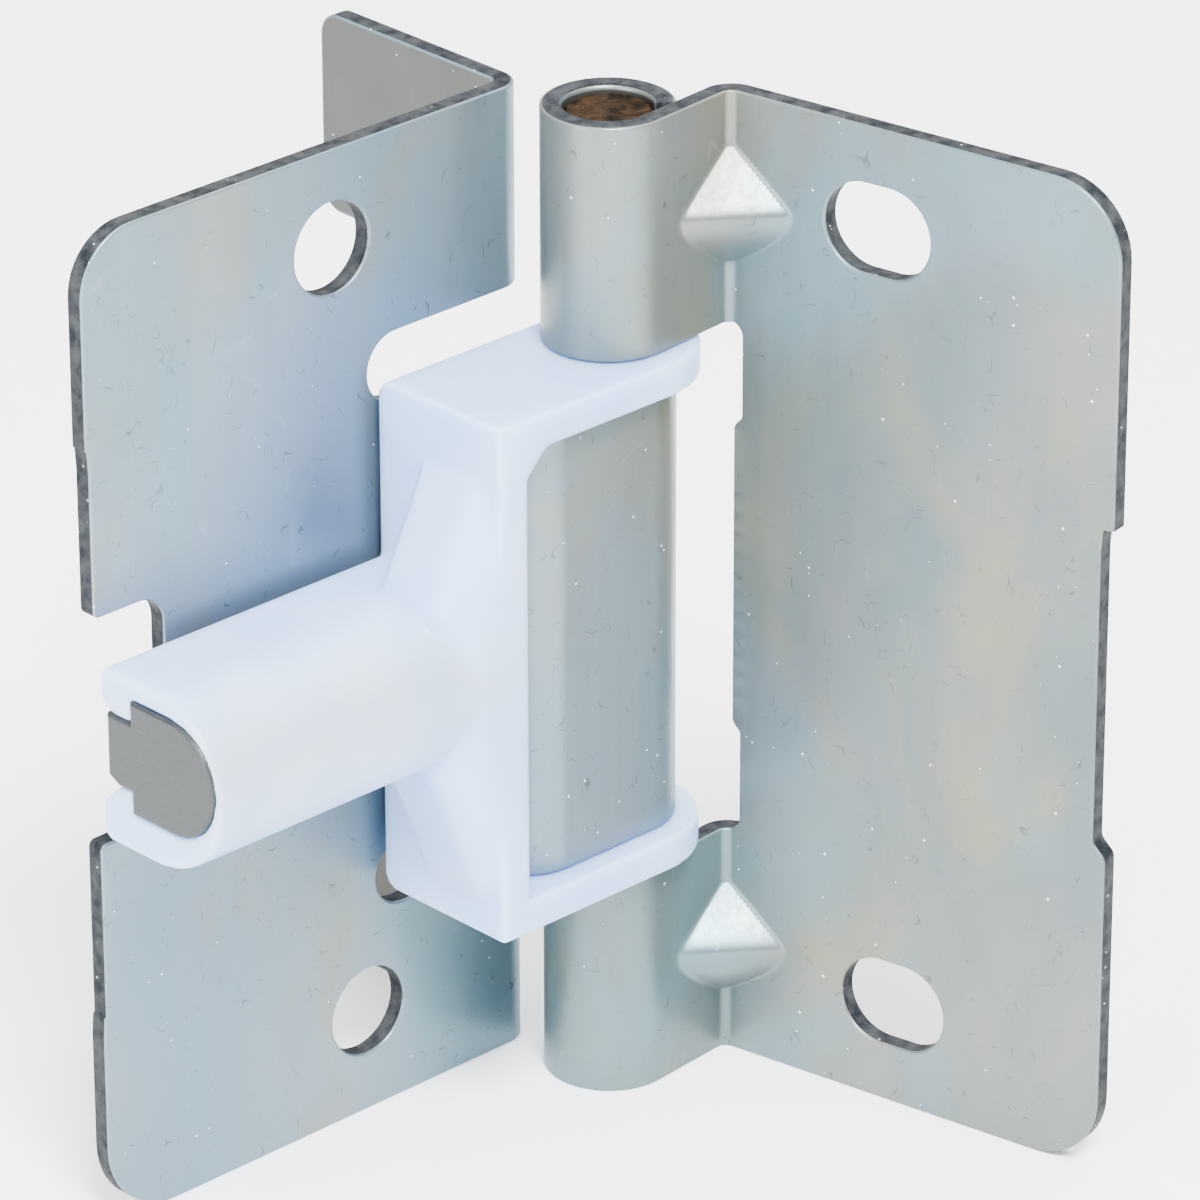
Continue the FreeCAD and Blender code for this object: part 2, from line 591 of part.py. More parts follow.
def gusset_triangle(body, name, height, share, outward):
    """Plan triangle of a gusset between plate and strip, shrunk towards the bend."""
    corner, down = inner_corner()
    leg = size("sizes.gusset_leg") * share
    spread = (1 + down[0], down[1])
    length = math.hypot(*spread)
    start = (corner[0] - outward * spread[0] / length, corner[1] - outward * spread[1] / length)
    corners = [start, (start[0] + leg, start[1]), (start[0] + leg * down[0], start[1] + leg * down[1])]
    sketch = make_sketch(body, name, "XY_Plane", height)
    polygon(sketch, [("%.6f" % across, "%.6f" % up) for across, up in corners])
    return sketch


def gusset_loft(body, kind, name, height, outward):
    """Two pyramids base to base: full width at the middle height, nothing at both ends."""
    tip = 0.04
    sections = []
    for part, side in (("low", -1), ("middle", 0), ("high", 1)):
        share = tip if side else 1
        level = "%s + %d * sizes.gusset_half * %g" % (height, side, 1 - tip)
        sections.append(gusset_triangle(body, "%s_%s" % (name, part), level, share, outward))
    loft = body.newObject(kind, name)
    loft.Profile = sections[0]
    loft.Sections = sections[1:]
    loft.Ruled = True
    doc.recompute()
    return loft


def round_crest(body, name, web, height):
    """Round the crest of a gusset, the level edge that spans the bend."""
    span = size("sizes.gusset_leg")

    def crest(edge, middle, direction):
        level = near(middle.z, height) and abs(direction.z) < 0.001
        return level and direction.Length > span
    return round_edges(body, name, web, crest, "sizes.gusset_round")


def make_knuckle_leaf():
    """Leaf with two slots, whose strips above and below are rolled into knuckles."""
    body = make_body("knuckle_leaf")
    section = make_sketch(body, "leaf_section", "XY_Plane")
    knuckle_leaf_section(section)
    feature = pad(body, "plate_and_roll", section, "sizes.height")
    for name, up in (("top_corner", "sizes.height"), ("bottom_corner", "0")):
        feature = round_corner(body, name, feature, "sizes.leaf_reach", up, "sizes.leaf_round")

    window = make_sketch(body, "window", "XZ_Plane")
    window_outline(window)
    cut_through(body, "strips_parted", window)

    recess = make_sketch(body, "outer_recess", "XZ_Plane")
    shoulder = "sizes.leaf_reach - sizes.recess_depth"
    polygon(recess, [
        ("sizes.leaf_reach + sizes.sheet", "sizes.recess_low - sizes.recess_depth - sizes.sheet"),
        (shoulder, "sizes.recess_low"),
        (shoulder, "sizes.recess_high"),
        ("sizes.leaf_reach + sizes.sheet", "sizes.recess_high"),
    ])
    feature = cut_through(body, "edge_recess", recess)
    round_corner(body, "recess_corner", feature, shoulder, "sizes.recess_low", "sizes.recess_round")

    slots = make_sketch(body, "slots", "XZ_Plane")
    slot_outline(slots, "sizes.top_slot_reach", "sizes.top_slot_height")
    slot_outline(slots, "sizes.low_slot_reach", "sizes.low_slot_height")
    cut_through(body, "slots_for_screws", slots)

    outward = size("sizes.sheet") * math.sqrt(2)
    for name, height in (("top_gusset", "sizes.top_gusset"), ("low_gusset", "sizes.low_gusset")):
        web = gusset_loft(body, "PartDesign::AdditiveLoft", name, height, 0)
        round_crest(body, name + "_crest", web, height)
        gusset_loft(body, "PartDesign::SubtractiveLoft", name + "_dent", height, outward)
    place(body, "sizes.leaf_angle")
    return body


def make_hinge_pin():
    """Plain pin with a small chamfer at both ends."""
    body = make_body("hinge_pin")
    outline = make_sketch(body, "pin_outline", "XY_Plane", "sizes.pin_recess")
    circle(outline, "0", "0", "sizes.pin_radius")
    feature = pad(body, "rod", outline, "sizes.height - 2 * sizes.pin_recess")
    ends = body.newObject("PartDesign::Chamfer", "pin_ends")
    ends.Base = (feature, edges_of(feature, lambda edge, middle, direction: direction.Length < 0.001))
    ends.setExpression("Size", "sizes.pin_chamfer")
    doc.recompute()
    place(body)
    return body


def block_outline(sketch):
    """Block in plan: flat front and back, and one end round about the pin."""
    radius, back, reach = size("sizes.block_radius"), size("sizes.block_back"), size("sizes.block_reach")
    meeting = math.asin(back / radius)
    end = (radius * math.cos(meeting), back)
    pieces = chain(sketch, [
        line((-reach, -radius), (0, -radius)),
        arc((0, 0), radius, -90, math.degrees(meeting)),
        line(end, (-reach, back)),
        line((-reach, back), (-reach, -radius)),
    ], sharp=(1, 2, 3))
    index = [piece[0] for piece in pieces]
    sketch.addConstraint(Sketcher.Constraint("Horizontal", index[0]))
    sketch.addConstraint(Sketcher.Constraint("Horizontal", index[2]))
    sketch.addConstraint(Sketcher.Constraint("Coincident", index[1], 3, -1, 1))
    hold(sketch, "Radius", index[1], to="sizes.block_radius")
    hold(sketch, "DistanceX", -1, 1, index[3], 2, to="-sizes.block_reach")
    hold_point(sketch, index[3], 1, "-sizes.block_reach", "sizes.block_back")


def tube_outline(sketch):
    """Tube seen from its end: flat back, round front."""
    back, radius, height = size("sizes.tube_back"), size("sizes.tube_radius"), size("sizes.tube_height")
    middle = size("sizes.tube_middle")
    pieces = chain(sketch, [
        line((middle, height + radius), (back, height + radius)),
        line((back, height + radius), (back, height - radius)),
        line((back, height - radius), (middle, height - radius)),
        arc((middle, height), radius, 270, 90),
    ], sharp=(0, 1))
    index = [piece[0] for piece in pieces]
    sketch.addConstraint(Sketcher.Constraint("Horizontal", index[0]))
    sketch.addConstraint(Sketcher.Constraint("Horizontal", index[2]))
    hold(sketch, "Radius", index[3], to="sizes.tube_radius")
    hold_point(sketch, index[3], 3, "sizes.tube_middle", "sizes.tube_height")
    hold(sketch, "DistanceX", -1, 1, index[1], 1, to="sizes.tube_back")
    hold(sketch, "DistanceX", -1, 1, index[1], 2, to="sizes.tube_back")


def keyhole_outline(sketch, spare, back, drop, slope):
    """Core with a round front, flat top and underside and a rib at its back, grown by a clearance."""
    grown = {name: "(sizes.%s + %s)" % (name, spare) for name in ("core_radius", "core_shelf", "rib_half")}
    radius, shelf, half = (size(grown[name]) for name in ("core_radius", "core_shelf", "rib_half"))
    middle, height, end = size("sizes.core_middle"), size("sizes.core_height"), size(back)
    low, high, turn, corner = height - half, height + half, end - size(slope), height - half - size(drop)
    pieces = chain(sketch, [
        arc((middle, height), radius, 90, 270),
        line((middle, height - radius), (shelf, height - radius)),
        line((shelf, height - radius), (shelf, low)),
        line((shelf, low), (turn, low)),
        line((turn, low), (end, corner)),
        line((end, corner), (end, high)),
        line((end, high), (shelf, high)),
        line((shelf, high), (shelf, height + radius)),
        line((shelf, height + radius), (middle, height + radius)),
    ], sharp=(1, 2, 3, 4, 5, 6, 7))
    index = [piece[0] for piece in pieces]
    for horizontal in (index[1], index[3], index[6], index[8]):
        sketch.addConstraint(Sketcher.Constraint("Horizontal", horizontal))
    for upright in (index[2], index[5], index[7]):
        sketch.addConstraint(Sketcher.Constraint("Vertical", upright))
    low_text = "sizes.core_height - " + grown["rib_half"]
    hold_point(sketch, index[0], 3, "sizes.core_middle", "sizes.core_height")
    hold(sketch, "Radius", index[0], to=grown["core_radius"])
    hold(sketch, "DistanceX", -1, 1, index[2], 1, to=grown["core_shelf"])
    hold(sketch, "DistanceY", -1, 1, index[2], 2, to=low_text)
    hold(sketch, "DistanceX", -1, 1, index[4], 1, to="%s - %s" % (back, slope))
    hold_point(sketch, index[5], 1, back, "%s - (%s)" % (low_text, drop))
    hold(sketch, "DistanceY", -1, 1, index[6], 1, to="sizes.core_height + " + grown["rib_half"])
    hold(sketch, "DistanceX", -1, 1, index[7], 1, to=grown["core_shelf"])


def end_edge(edge, middle, direction):
    """Whether an edge lies in the plane of the arm's outer end."""
    return near(middle.x, "-sizes.arm_reach") and abs(direction.x) < 0.001


def make_arm_sleeve():
    """Moulded arm: a block with two flanges round the pin, a shoulder and a slotted tube."""
    body = make_body("arm_sleeve")
    shoulder = make_sketch(body, "shoulder", "XZ_Plane", "-sizes.shoulder_back")
    polygon(shoulder, [
        ("-sizes.block_reach + sizes.sheet", "sizes.shoulder_low"),
        ("-sizes.block_reach + sizes.sheet", "sizes.shoulder_high"),
        ("-sizes.block_reach", "sizes.shoulder_high"),
        ("-sizes.shoulder_reach", "sizes.tube_height + sizes.tube_radius"),
        ("-sizes.shoulder_reach", "sizes.tube_height - sizes.tube_radius"),
        ("-sizes.block_reach", "sizes.shoulder_low"),
    ])
    feature = pad(body, "shoulder_wedge", shoulder, "sizes.shoulder_back + sizes.block_radius")

    def front_edge(edge, middle, direction):
        outside = middle.x < -size("sizes.block_reach") - 0.01
        return near(middle.y, "-sizes.block_radius") and outside
    round_edges(body, "shoulder_rounds", feature, front_edge, "sizes.shoulder_round")

    plan = make_sketch(body, "block_plan", "XY_Plane", "sizes.block_low")
    block_outline(plan)
    feature = pad(body, "block", plan, "sizes.block_high - sizes.block_low")

    def back_edge(edge, middle, direction):
        level = near(middle.z, "sizes.block_low") or near(middle.z, "sizes.block_high")
        lengthwise = abs(direction.x) > size("sizes.block_wall")
        return level and near(middle.y, "sizes.block_back") and lengthwise
    round_edges(body, "block_rounds", feature, back_edge, "sizes.block_round")

    tube = make_sketch(body, "tube_end", "YZ_Plane", "-sizes.arm_reach")
    tube_outline(tube)
    feature = pad(body, "tube", tube, "sizes.arm_reach - sizes.block_reach + sizes.sheet")

    def tube_edge(edge, middle, direction):
        lengthwise = abs(direction.x) > size("sizes.block_wall") and abs(direction.z) < 0.001
        return near(middle.y, "sizes.tube_back") and lengthwise
    feature = round_edges(body, "tube_rounds", feature, tube_edge, "sizes.tube_round")
    round_edges(body, "tube_end_round", feature, end_edge, "sizes.tube_soft")

    opening = make_sketch(body, "front_opening", "XZ_Plane")
    wall = "-sizes.block_reach + sizes.block_wall"
    low, high = "sizes.block_low + sizes.flange", "sizes.block_high - sizes.flange"
    past = "sizes.block_radius + sizes.sheet"
    polygon(opening, [(wall, low), (past, low), (past, high), (wall, high)])
    cut_through(body, "opening", opening)

    web = make_sketch(body, "corner_web", "XZ_Plane", "sizes.block_radius - sizes.web_depth")
    polygon(web, [
        (wall, high + " - sizes.corner_web"), (wall + " + sizes.corner_web", high),
        (wall + " + sizes.corner_web", high + " + sizes.flange / 2"),
        (wall + " - sizes.block_wall / 2", high + " + sizes.flange / 2"),
        (wall + " - sizes.block_wall / 2", high + " - sizes.corner_web"),
    ])
    pad(body, "web_in_corner", web, "sizes.web_depth")

    bore = make_sketch(body, "pin_bore", "XY_Plane")
    circle(bore, "0", "0", "sizes.pin_radius + sizes.bore_clearance")
    cut_through(body, "bore_for_pin", bore)

    keyhole = make_sketch(body, "core_hole", "YZ_Plane", "-sizes.core_end")
    keyhole_outline(keyhole, "sizes.core_fit", "sizes.tube_back", "sizes.lip_flare", "sizes.lip_depth")
    cut_depth(body, "hole_for_core", keyhole, "sizes.arm_reach - sizes.core_end")
    place(body)
    return body


def make_arm_core():
    """Steel core of the arm: a bar with a round front and a rib along its back."""
    body = make_body("arm_core")
    section = make_sketch(body, "core_section", "YZ_Plane", "-sizes.arm_reach")
    keyhole_outline(section, "0", "sizes.rib_back", "-sizes.rib_bevel", "sizes.bevel_depth")
    feature = pad(body, "core", section, "sizes.arm_reach - sizes.core_end")
    round_edges(body, "core_end_round", feature, end_edge, "sizes.core_round")
    place(body)
    return body


bodies = [
    make_corner_leaf(),
    make_knuckle_leaf(),
    make_hinge_pin(),
    make_arm_sleeve(),
    make_arm_core(),
]
doc.recompute()

for item in doc.Objects:
    if "Invalid" in item.State or "Error" in item.State:
        raise RuntimeError("%s is %s" % (item.Name, item.State))
for body in bodies:
    if body.Shape.isNull() or not body.Shape.isValid():
        raise RuntimeError("%s has no valid shape" % body.Label)

os.makedirs("parts", exist_ok=True)
for body in bodies:
    body.Shape.exportStep("parts/%s.step" % body.Label)
    print("%s: %d solid, %.0f cubic mm" % (body.Label, len(body.Shape.Solids), body.Shape.Volume))
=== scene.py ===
import logging
import math
from dataclasses import dataclass
from enum import Enum

import bmesh
import bpy
import numpy as np
from mathutils import Matrix, Vector
from mathutils.geometry import delaunay_2d_cdt


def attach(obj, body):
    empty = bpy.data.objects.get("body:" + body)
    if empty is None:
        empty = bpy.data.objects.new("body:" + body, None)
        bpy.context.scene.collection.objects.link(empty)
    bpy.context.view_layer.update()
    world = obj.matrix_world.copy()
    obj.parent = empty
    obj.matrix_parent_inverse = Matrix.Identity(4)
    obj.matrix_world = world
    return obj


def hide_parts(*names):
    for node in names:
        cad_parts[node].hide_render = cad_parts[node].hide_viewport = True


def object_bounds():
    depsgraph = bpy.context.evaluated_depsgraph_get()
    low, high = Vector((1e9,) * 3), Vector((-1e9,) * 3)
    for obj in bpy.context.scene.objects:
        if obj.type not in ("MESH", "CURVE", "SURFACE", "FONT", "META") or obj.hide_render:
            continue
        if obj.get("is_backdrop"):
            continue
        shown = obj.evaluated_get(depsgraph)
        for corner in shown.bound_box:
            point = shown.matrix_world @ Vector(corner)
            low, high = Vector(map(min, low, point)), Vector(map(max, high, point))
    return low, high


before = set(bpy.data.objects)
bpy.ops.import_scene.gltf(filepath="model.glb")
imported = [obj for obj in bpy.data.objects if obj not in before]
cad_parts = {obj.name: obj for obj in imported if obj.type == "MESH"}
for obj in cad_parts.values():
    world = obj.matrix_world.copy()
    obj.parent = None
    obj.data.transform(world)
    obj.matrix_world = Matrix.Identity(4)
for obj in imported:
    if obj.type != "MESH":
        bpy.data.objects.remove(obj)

# Finished look of the folding door hinge. Lengths in the classes are in millimetres, with the
# pin's axis at x = y = 0 and z = 0 at the lower end; Place carries them to the common frame.
# The camera, the lights, the floor and the depth of a surface's relief are in metres.

LOG = logging.getLogger("folding_door_hinge")
MM = 0.001
TINY = 1e-6
Point = tuple[float, float]
Triple = tuple[float, float, float]
Colour = tuple[float, float, float, float]
Value = bpy.types.NodeSocket | bpy.types.ID | float | tuple


class Slot(Enum):
    """Material slots of the record."""

    PLATED = "plated_steel"
    PIN = "pin_steel"
    PLASTIC = "white_plastic"


class Side(Enum):
    """Where the back face of a sheet lies in a bend, seen from the bend's centre."""

    OUTER = 1.0
    INNER = -1.0


@dataclass(frozen=True)
class MeshSteps:
    """How fine a sheet's mesh is, in millimetres and degrees."""

    straight: float = 1.6
    bend_deg: float = 6.0
    least_in_bend: int = 4
    rim: float = 1.5
    round_deg: float = 7.5
    least_in_round: int = 3
    hole_points: int = 72
    same_point: float = 0.02
    same_in_fill: float = 1e-5
    closest_on_rim: float = 0.04
    closest_to_rim: float = 0.35
    border: float = 0.5
    least_square: float = 0.8
    slope_step: float = 0.02


STEPS = MeshSteps()


@dataclass(frozen=True)
class Place:
    """Turn about the pin and shift to the common frame."""

    origin: Triple = (18.6, -8.47, -38.1)
    turn_deg: float = 0.0

    def carry(self, points: np.ndarray) -> np.ndarray:
        """Points in millimetres of the piece's own frame, in metres of the common frame."""
        return (self.turn(points) + np.array(self.origin)) * MM

    def turn(self, vectors: np.ndarray) -> np.ndarray:
        """Turn vectors about the pin.

        Args:
            vectors: rows of x, y, z.

        Returns:
            The turned rows.
        """
        angle = math.radians(self.turn_deg)
        spin = np.array([
            [math.cos(angle), -math.sin(angle), 0.0],
            [math.sin(angle), math.cos(angle), 0.0],
            [0.0, 0.0, 1.0],
        ])
        return vectors @ spin.T


@dataclass(frozen=True)
class Straight:
    """Flat stretch of a sheet in plan, given along its front face."""

    start: Point
    end: Point
    back: Point
    sheet: float

    @property
    def length(self) -> float:
        """Length of the stretch."""
        return math.dist(self.start, self.end)

    def stations(self) -> list[float]:
        """Distances along the stretch at which the mesh has a line."""
        count = max(1, round(self.length / STEPS.straight))
        return [self.length * step / count for step in range(count)]

    def at(self, along: np.ndarray, depth: np.ndarray) -> np.ndarray:
        """Points of the stretch.

        Args:
            along: distances from its start.
            depth: distances behind the front face.

        Returns:
            Rows of x and y.
        """
        start, end, back = (np.array(v) for v in (self.start, self.end, self.back))
        line = (end - start) / self.length
        return start + along[:, None] * line + depth[:, None] * back


@dataclass(frozen=True)
class Bend:
    """Round stretch of a sheet in plan, given by the arc of its front face."""

    centre: Point
    radius: float
    first_deg: float
    last_deg: float
    side: Side
    sheet: float

    @property
    def length(self) -> float:
        """Length along the middle of the sheet."""
        middle = self.radius + self.side.value * self.sheet / 2
        return math.radians(abs(self.last_deg - self.first_deg)) * middle

    def stations(self) -> list[float]:
        """Distances along the bend at which the mesh has a line."""
        count = max(STEPS.least_in_bend, round(abs(self.last_deg - self.first_deg) / STEPS.bend_deg))
        return [self.length * step / count for step in range(count)]

    def at(self, along: np.ndarray, depth: np.ndarray) -> np.ndarray:
        """Points of the bend.

        Args:
            along: distances from its start, along the middle of the sheet.
            depth: distances behind the front face.

        Returns:
            Rows of x and y.
        """
        angle = np.radians(self.first_deg + (self.last_deg - self.first_deg) * along / self.length)
        radius = self.radius + self.side.value * depth
        ring = np.stack([np.cos(angle), np.sin(angle)], axis=1)
        return np.array(self.centre) + radius[:, None] * ring


@dataclass(frozen=True)
class Path:
    """Course of a bent sheet in plan: its flat and round stretches one after the other."""

    stretches: tuple[Straight | Bend, ...]
    start: float = 0.0

    @property
    def end(self) -> float:
        """Developed distance at which the course ends."""
        return self.start + sum(stretch.length for stretch in self.stretches)

    def stations(self) -> list[float]:
        """List where the mesh has a line.

        Returns:
            Developed distances from the start to the end.
        """
        found, begin = [], self.start
        for stretch in self.stretches:
            found += [begin + station for station in stretch.stations()]
            begin += stretch.length
        return found + [begin]

    def at(self, along: np.ndarray, depth: np.ndarray) -> np.ndarray:
        """Points of the sheet.

        Args:
            along: developed distances.
            depth: distances behind the front face.

        Returns:
            Rows of x and y.
        """
        result = np.zeros((len(along), 2))
        begin = self.start
        for number, stretch in enumerate(self.stretches):
            inside = np.ones(len(along), bool)
            if number > 0:
                inside &= along >= begin
            if number < len(self.stretches) - 1:
                inside &= along < begin + stretch.length
            result[inside] = stretch.at(along[inside] - begin, depth[inside])
            begin += stretch.length
        return result


@dataclass(frozen=True)
class Corner:
    """Corner of an outline in the developed sheet, with its round."""

    across: float
    up: float
    radius: float = 0.0


def round_off(corner: Corner, before: Corner, after: Corner) -> list[np.ndarray]:
    """Points of an outline at one corner.

    Args:
        corner: the corner.
        before: the corner before it.
        after: the corner after it.

    Returns:
        The corner itself, or points on its round.
    """
    here = np.array([corner.across, corner.up])
    if corner.radius <= 0:
        return [here]
    inward = np.array([before.across, before.up]) - here
    onward = np.array([after.across, after.up]) - here
    inward, onward = inward / np.linalg.norm(inward), onward / np.linalg.norm(onward)
    half = math.acos(float(np.clip(inward @ onward, -1, 1))) / 2
    bisector = (inward + onward) / np.linalg.norm(inward + onward)
    centre = here + bisector * corner.radius / math.sin(half)
    start = here + inward * corner.radius / math.tan(half) - centre
    end = here + onward * corner.radius / math.tan(half) - centre
    first = math.atan2(start[1], start[0])
    sweep = (math.atan2(end[1], end[0]) - first + math.pi) % (2 * math.pi) - math.pi
    steps = max(STEPS.least_in_round, round(abs(sweep) / math.radians(STEPS.round_deg)))
    angles = [first + sweep * step / steps for step in range(steps + 1)]
    return [centre + corner.radius * np.array([math.cos(a), math.sin(a)]) for a in angles]


def outline(corners: list[Corner], stations: list[float]) -> np.ndarray:
    """Close outline through corners, with a point wherever it crosses a station.

    Args:
        corners: the corners, anticlockwise where the sheet isn't flipped.
        stations: developed distances at which the sheet's mesh has a line.

    Returns:
        Rows of distance along the sheet and height.
    """
    knots = []
    for index, corner in enumerate(corners):
        knots += round_off(corner, corners[index - 1], corners[(index + 1) % len(corners)])
    points = []
    for index, start in enumerate(knots):
        span = knots[(index + 1) % len(knots)] - start
        length = np.linalg.norm(span)
        shares = {0.0}
        if abs(span[0]) > TINY:
            shares |= {(station - start[0]) / span[0] for station in stations}
        parts = max(1, round(float(length) / STEPS.rim))
        shares |= {step / parts for step in range(parts)}
        inside = sorted(share for share in shares if 0.0 <= share < 1.0)
        points += [start + span * share for n, share in enumerate(inside)
                   if n == 0 or (share - inside[n - 1]) * length > STEPS.closest_on_rim]
    return np.array([point for n, point in enumerate(points)
                     if np.linalg.norm(point - points[n - 1]) > STEPS.same_point])


def round_hole(across: float, up: float, radius: float, stretch: float = 0.0) -> np.ndarray:
    """Clockwise outline of a round hole or of a slot with round ends.

    Args:
        across: middle of the hole along the sheet.
        up: height of its middle.
        radius: half its height.
        stretch: straight part between the two round ends.

    Returns:
        Rows of distance along the sheet and height.
    """
    points = []
    for angle in np.linspace(0, -2 * math.pi, STEPS.hole_points + 1)[:-1]:
        shift = math.copysign(stretch / 2, math.cos(angle)) if stretch else 0.0
        points.append((across + shift + radius * math.cos(angle), up + radius * math.sin(angle)))
    return np.array(points)


def inward_normals(loop: np.ndarray) -> np.ndarray:
    """Mitred normals of a closed loop towards the material.

    Args:
        loop: rows of the loop, with the material on its left.

    Returns:
        One row for each point, longer than one in a corner.
    """
    ahead = np.roll(loop, -1, axis=0) - loop
    ahead = ahead / np.linalg.norm(ahead, axis=1)[:, None]
    behind = np.roll(ahead, 1, axis=0)
    normals = np.stack([-(ahead[:, 1] + behind[:, 1]), ahead[:, 0] + behind[:, 0]], axis=1)
    square = np.sum(normals * normals, axis=1)
    return 2 * normals / np.maximum(square, STEPS.least_square)[:, None]


def inside_loops(points: np.ndarray, loops: list[np.ndarray]) -> np.ndarray:
    """Whether points lie in the material between closed loops.

    Args:
        points: rows of two coordinates.
        loops: the rim and the holes.

    Returns:
        One truth value for each point, by the even and odd rule.
    """
    result = np.zeros(len(points), bool)
    for loop in loops:
        for (x0, y0), (x1, y1) in zip(loop, np.roll(loop, -1, axis=0)):
            if y0 == y1:
                continue
            crosses = (points[:, 1] > min(y0, y1)) & (points[:, 1] <= max(y0, y1))
            at = x0 + (points[:, 1] - y0) * (x1 - x0) / (y1 - y0)
            result ^= crosses & (points[:, 0] < at)
    return result


def add_object(name: str, data: bpy.types.ID) -> bpy.types.Object:
    """Make an object and link it to the scene.

    Args:
        name: its name.
        data: its mesh, lamp or camera.

    Returns:
        The object.
    """
    made = bpy.data.objects.new(name, data)
    bpy.context.scene.collection.objects.link(made)
    return made


def plain_mesh(carrier: bpy.types.Object, name: str) -> bpy.types.Mesh:
    """Take the mesh that an object's modifiers give, and remove the object.

    Args:
        carrier: the object.
        name: name of the mesh.

    Returns:
        The mesh, without modifiers.
    """
    bpy.context.view_layer.update()
    evaluated = carrier.evaluated_get(bpy.context.evaluated_depsgraph_get())
    made = bpy.data.meshes.new_from_object(evaluated)
    bpy.data.objects.remove(carrier)
    made.name = name
    return made


@dataclass(frozen=True)
class SheetFinish:
    """Edge forms of a pressed sheet. The back roll is wider at the knuckles' bores."""

    thickness: float = 1.52
    inset: float = 0.16
    front_roll: float = 0.2
    back_roll: float = 0.09
    ring_steps: int = 4
    bore_roll: float = 4.0
    bore_inset: float = 2.6


class BentSheet:
    """Sheet that is cut flat, then bent along one or more courses.

    Material 0 is on its front and its rolled edges, 1 on the cut and 2 on its back.
    """

    def __init__(self, name: str, place: Place, flipped: bool, finish: SheetFinish) -> None:
        """Start a sheet.

        Args:
            name: the piece's name.
            place: where its own frame lies.
            flipped: whether the developed distance runs from right to left, seen from the front.
            finish: its edges.
        """
        self.name = name
        self.place = place
        self.flipped = flipped
        self.finish = finish
        self.loops: list[np.ndarray] = []
        self.grid: list[Point] = []

    def surface(self, along: np.ndarray, up: np.ndarray, depth: np.ndarray) -> np.ndarray:
        """Points of the bent sheet in its own frame.

        Args:
            along: developed distances.
            up: heights.
            depth: distances behind the front face.

        Returns:
            Rows of x, y, z in millimetres.
        """
        raise NotImplementedError

    def in_knuckle(self, loop: np.ndarray) -> np.ndarray:
        """Share of the wider back roll at each point of a loop."""
        return np.zeros(len(loop))

    def add_grid(self, stations: list[float], low: float, high: float,
                 step: float = STEPS.straight, border: float = STEPS.border) -> None:
        """Add inner mesh points on a stretch of the sheet.

        Args:
            stations: developed distances.
            low: height at which the stretch starts.
            high: height at which it ends.
            step: distance between two heights.
            border: distance that stays free at both ends.
        """
        low, high = low + border, high - border
        rows = max(2, round((high - low) / step))
        for station in stations:
            self.grid += [(station, low + (high - low) * row / rows) for row in range(rows + 1)]

    def directions(self, along: np.ndarray, up: np.ndarray,
                   depth: np.ndarray) -> tuple[np.ndarray, ...]:
        """Directions of the bent surface.

        Args:
            along: developed distances.
            up: heights.
            depth: distances behind the front face.

        Returns:
            Unit rows along the sheet, up the sheet and out of its front.
        """
        step = STEPS.slope_step
        by_along = self.surface(along + step, up, depth) - self.surface(along - step, up, depth)
        by_up = self.surface(along, up + step, depth) - self.surface(along, up - step, depth)
        front = np.cross(by_along, by_up) * (-1 if self.flipped else 1)
        return tuple(rows / np.linalg.norm(rows, axis=1)[:, None] for rows in (by_along, by_up, front))

    def edge_rings(self) -> list[Triple]:
        """Lay the rings of points round the edge.

        Returns:
            Inset, depth and lean of each ring, from the front face over the cut to the back.
            The lean is the height of the surface's normal above the cut, in degrees.
        """
        finish, rings = self.finish, []
        leans = [90.0 - 90.0 * step / finish.ring_steps for step in range(finish.ring_steps + 1)]
        for lean in leans:
            inset = finish.inset * (1 - math.cos(math.radians(lean)))
            rings.append((inset, finish.front_roll * (1 - math.sin(math.radians(lean))), lean))
        for lean in reversed(leans):
            inset = finish.inset * (1 - math.cos(math.radians(lean)))
            rise = finish.back_roll * (1 - math.sin(math.radians(lean)))
            rings.append((inset, finish.thickness - rise, -lean))
        return rings

    def points(self, insets: list[np.ndarray], inner: np.ndarray) -> tuple[np.ndarray, np.ndarray]:
        """Points of the mesh: the rings, then the inner ones in front and at the back.

        Args:
            insets: mitred normals of each loop.
            inner: flat points inside the rims.

        Returns:
            The points in metres and their normals, in the common frame.
        """
        thickness = self.finish.thickness
        rolls = [1.0 + self.finish.bore_roll * self.in_knuckle(loop) for loop in self.loops]
        flat, depth, outward, tilt = [], [], [], []
        for inset, level, lean in self.edge_rings():
            for loop, normal, roll in zip(self.loops, insets, rolls):
                grown = roll if lean < 0 else np.ones(len(loop))
                sunk = thickness - (thickness - level) * grown
                wider = np.minimum(grown, self.finish.bore_inset)
                flat.append(loop + normal * (inset * wider)[:, None])
                depth.append(np.full(len(loop), level) if lean > 0 else sunk)
                outward.append(-normal / np.linalg.norm(normal, axis=1)[:, None])
                tilt.append(np.full(len(loop), lean))
        for level, lean in ((0.0, 90.0), (thickness, -90.0)):
            flat.append(inner)
            depth.append(np.full(len(inner), level))
            outward.append(np.zeros((len(inner), 2)))
            tilt.append(np.full(len(inner), lean))
        flat, depth, outward = np.concatenate(flat), np.concatenate(depth), np.concatenate(outward)
        tilt = np.radians(np.concatenate(tilt))
        along, up = flat[:, 0], flat[:, 1]
        by_along, by_up, front = self.directions(along, up, depth)
        edge = outward[:, :1] * by_along + outward[:, 1:] * by_up
        normals = np.cos(tilt)[:, None] * edge + np.sin(tilt)[:, None] * front
        normals = normals / np.linalg.norm(normals, axis=1)[:, None]
        return self.place.carry(self.surface(along, up, depth)), self.place.turn(normals)

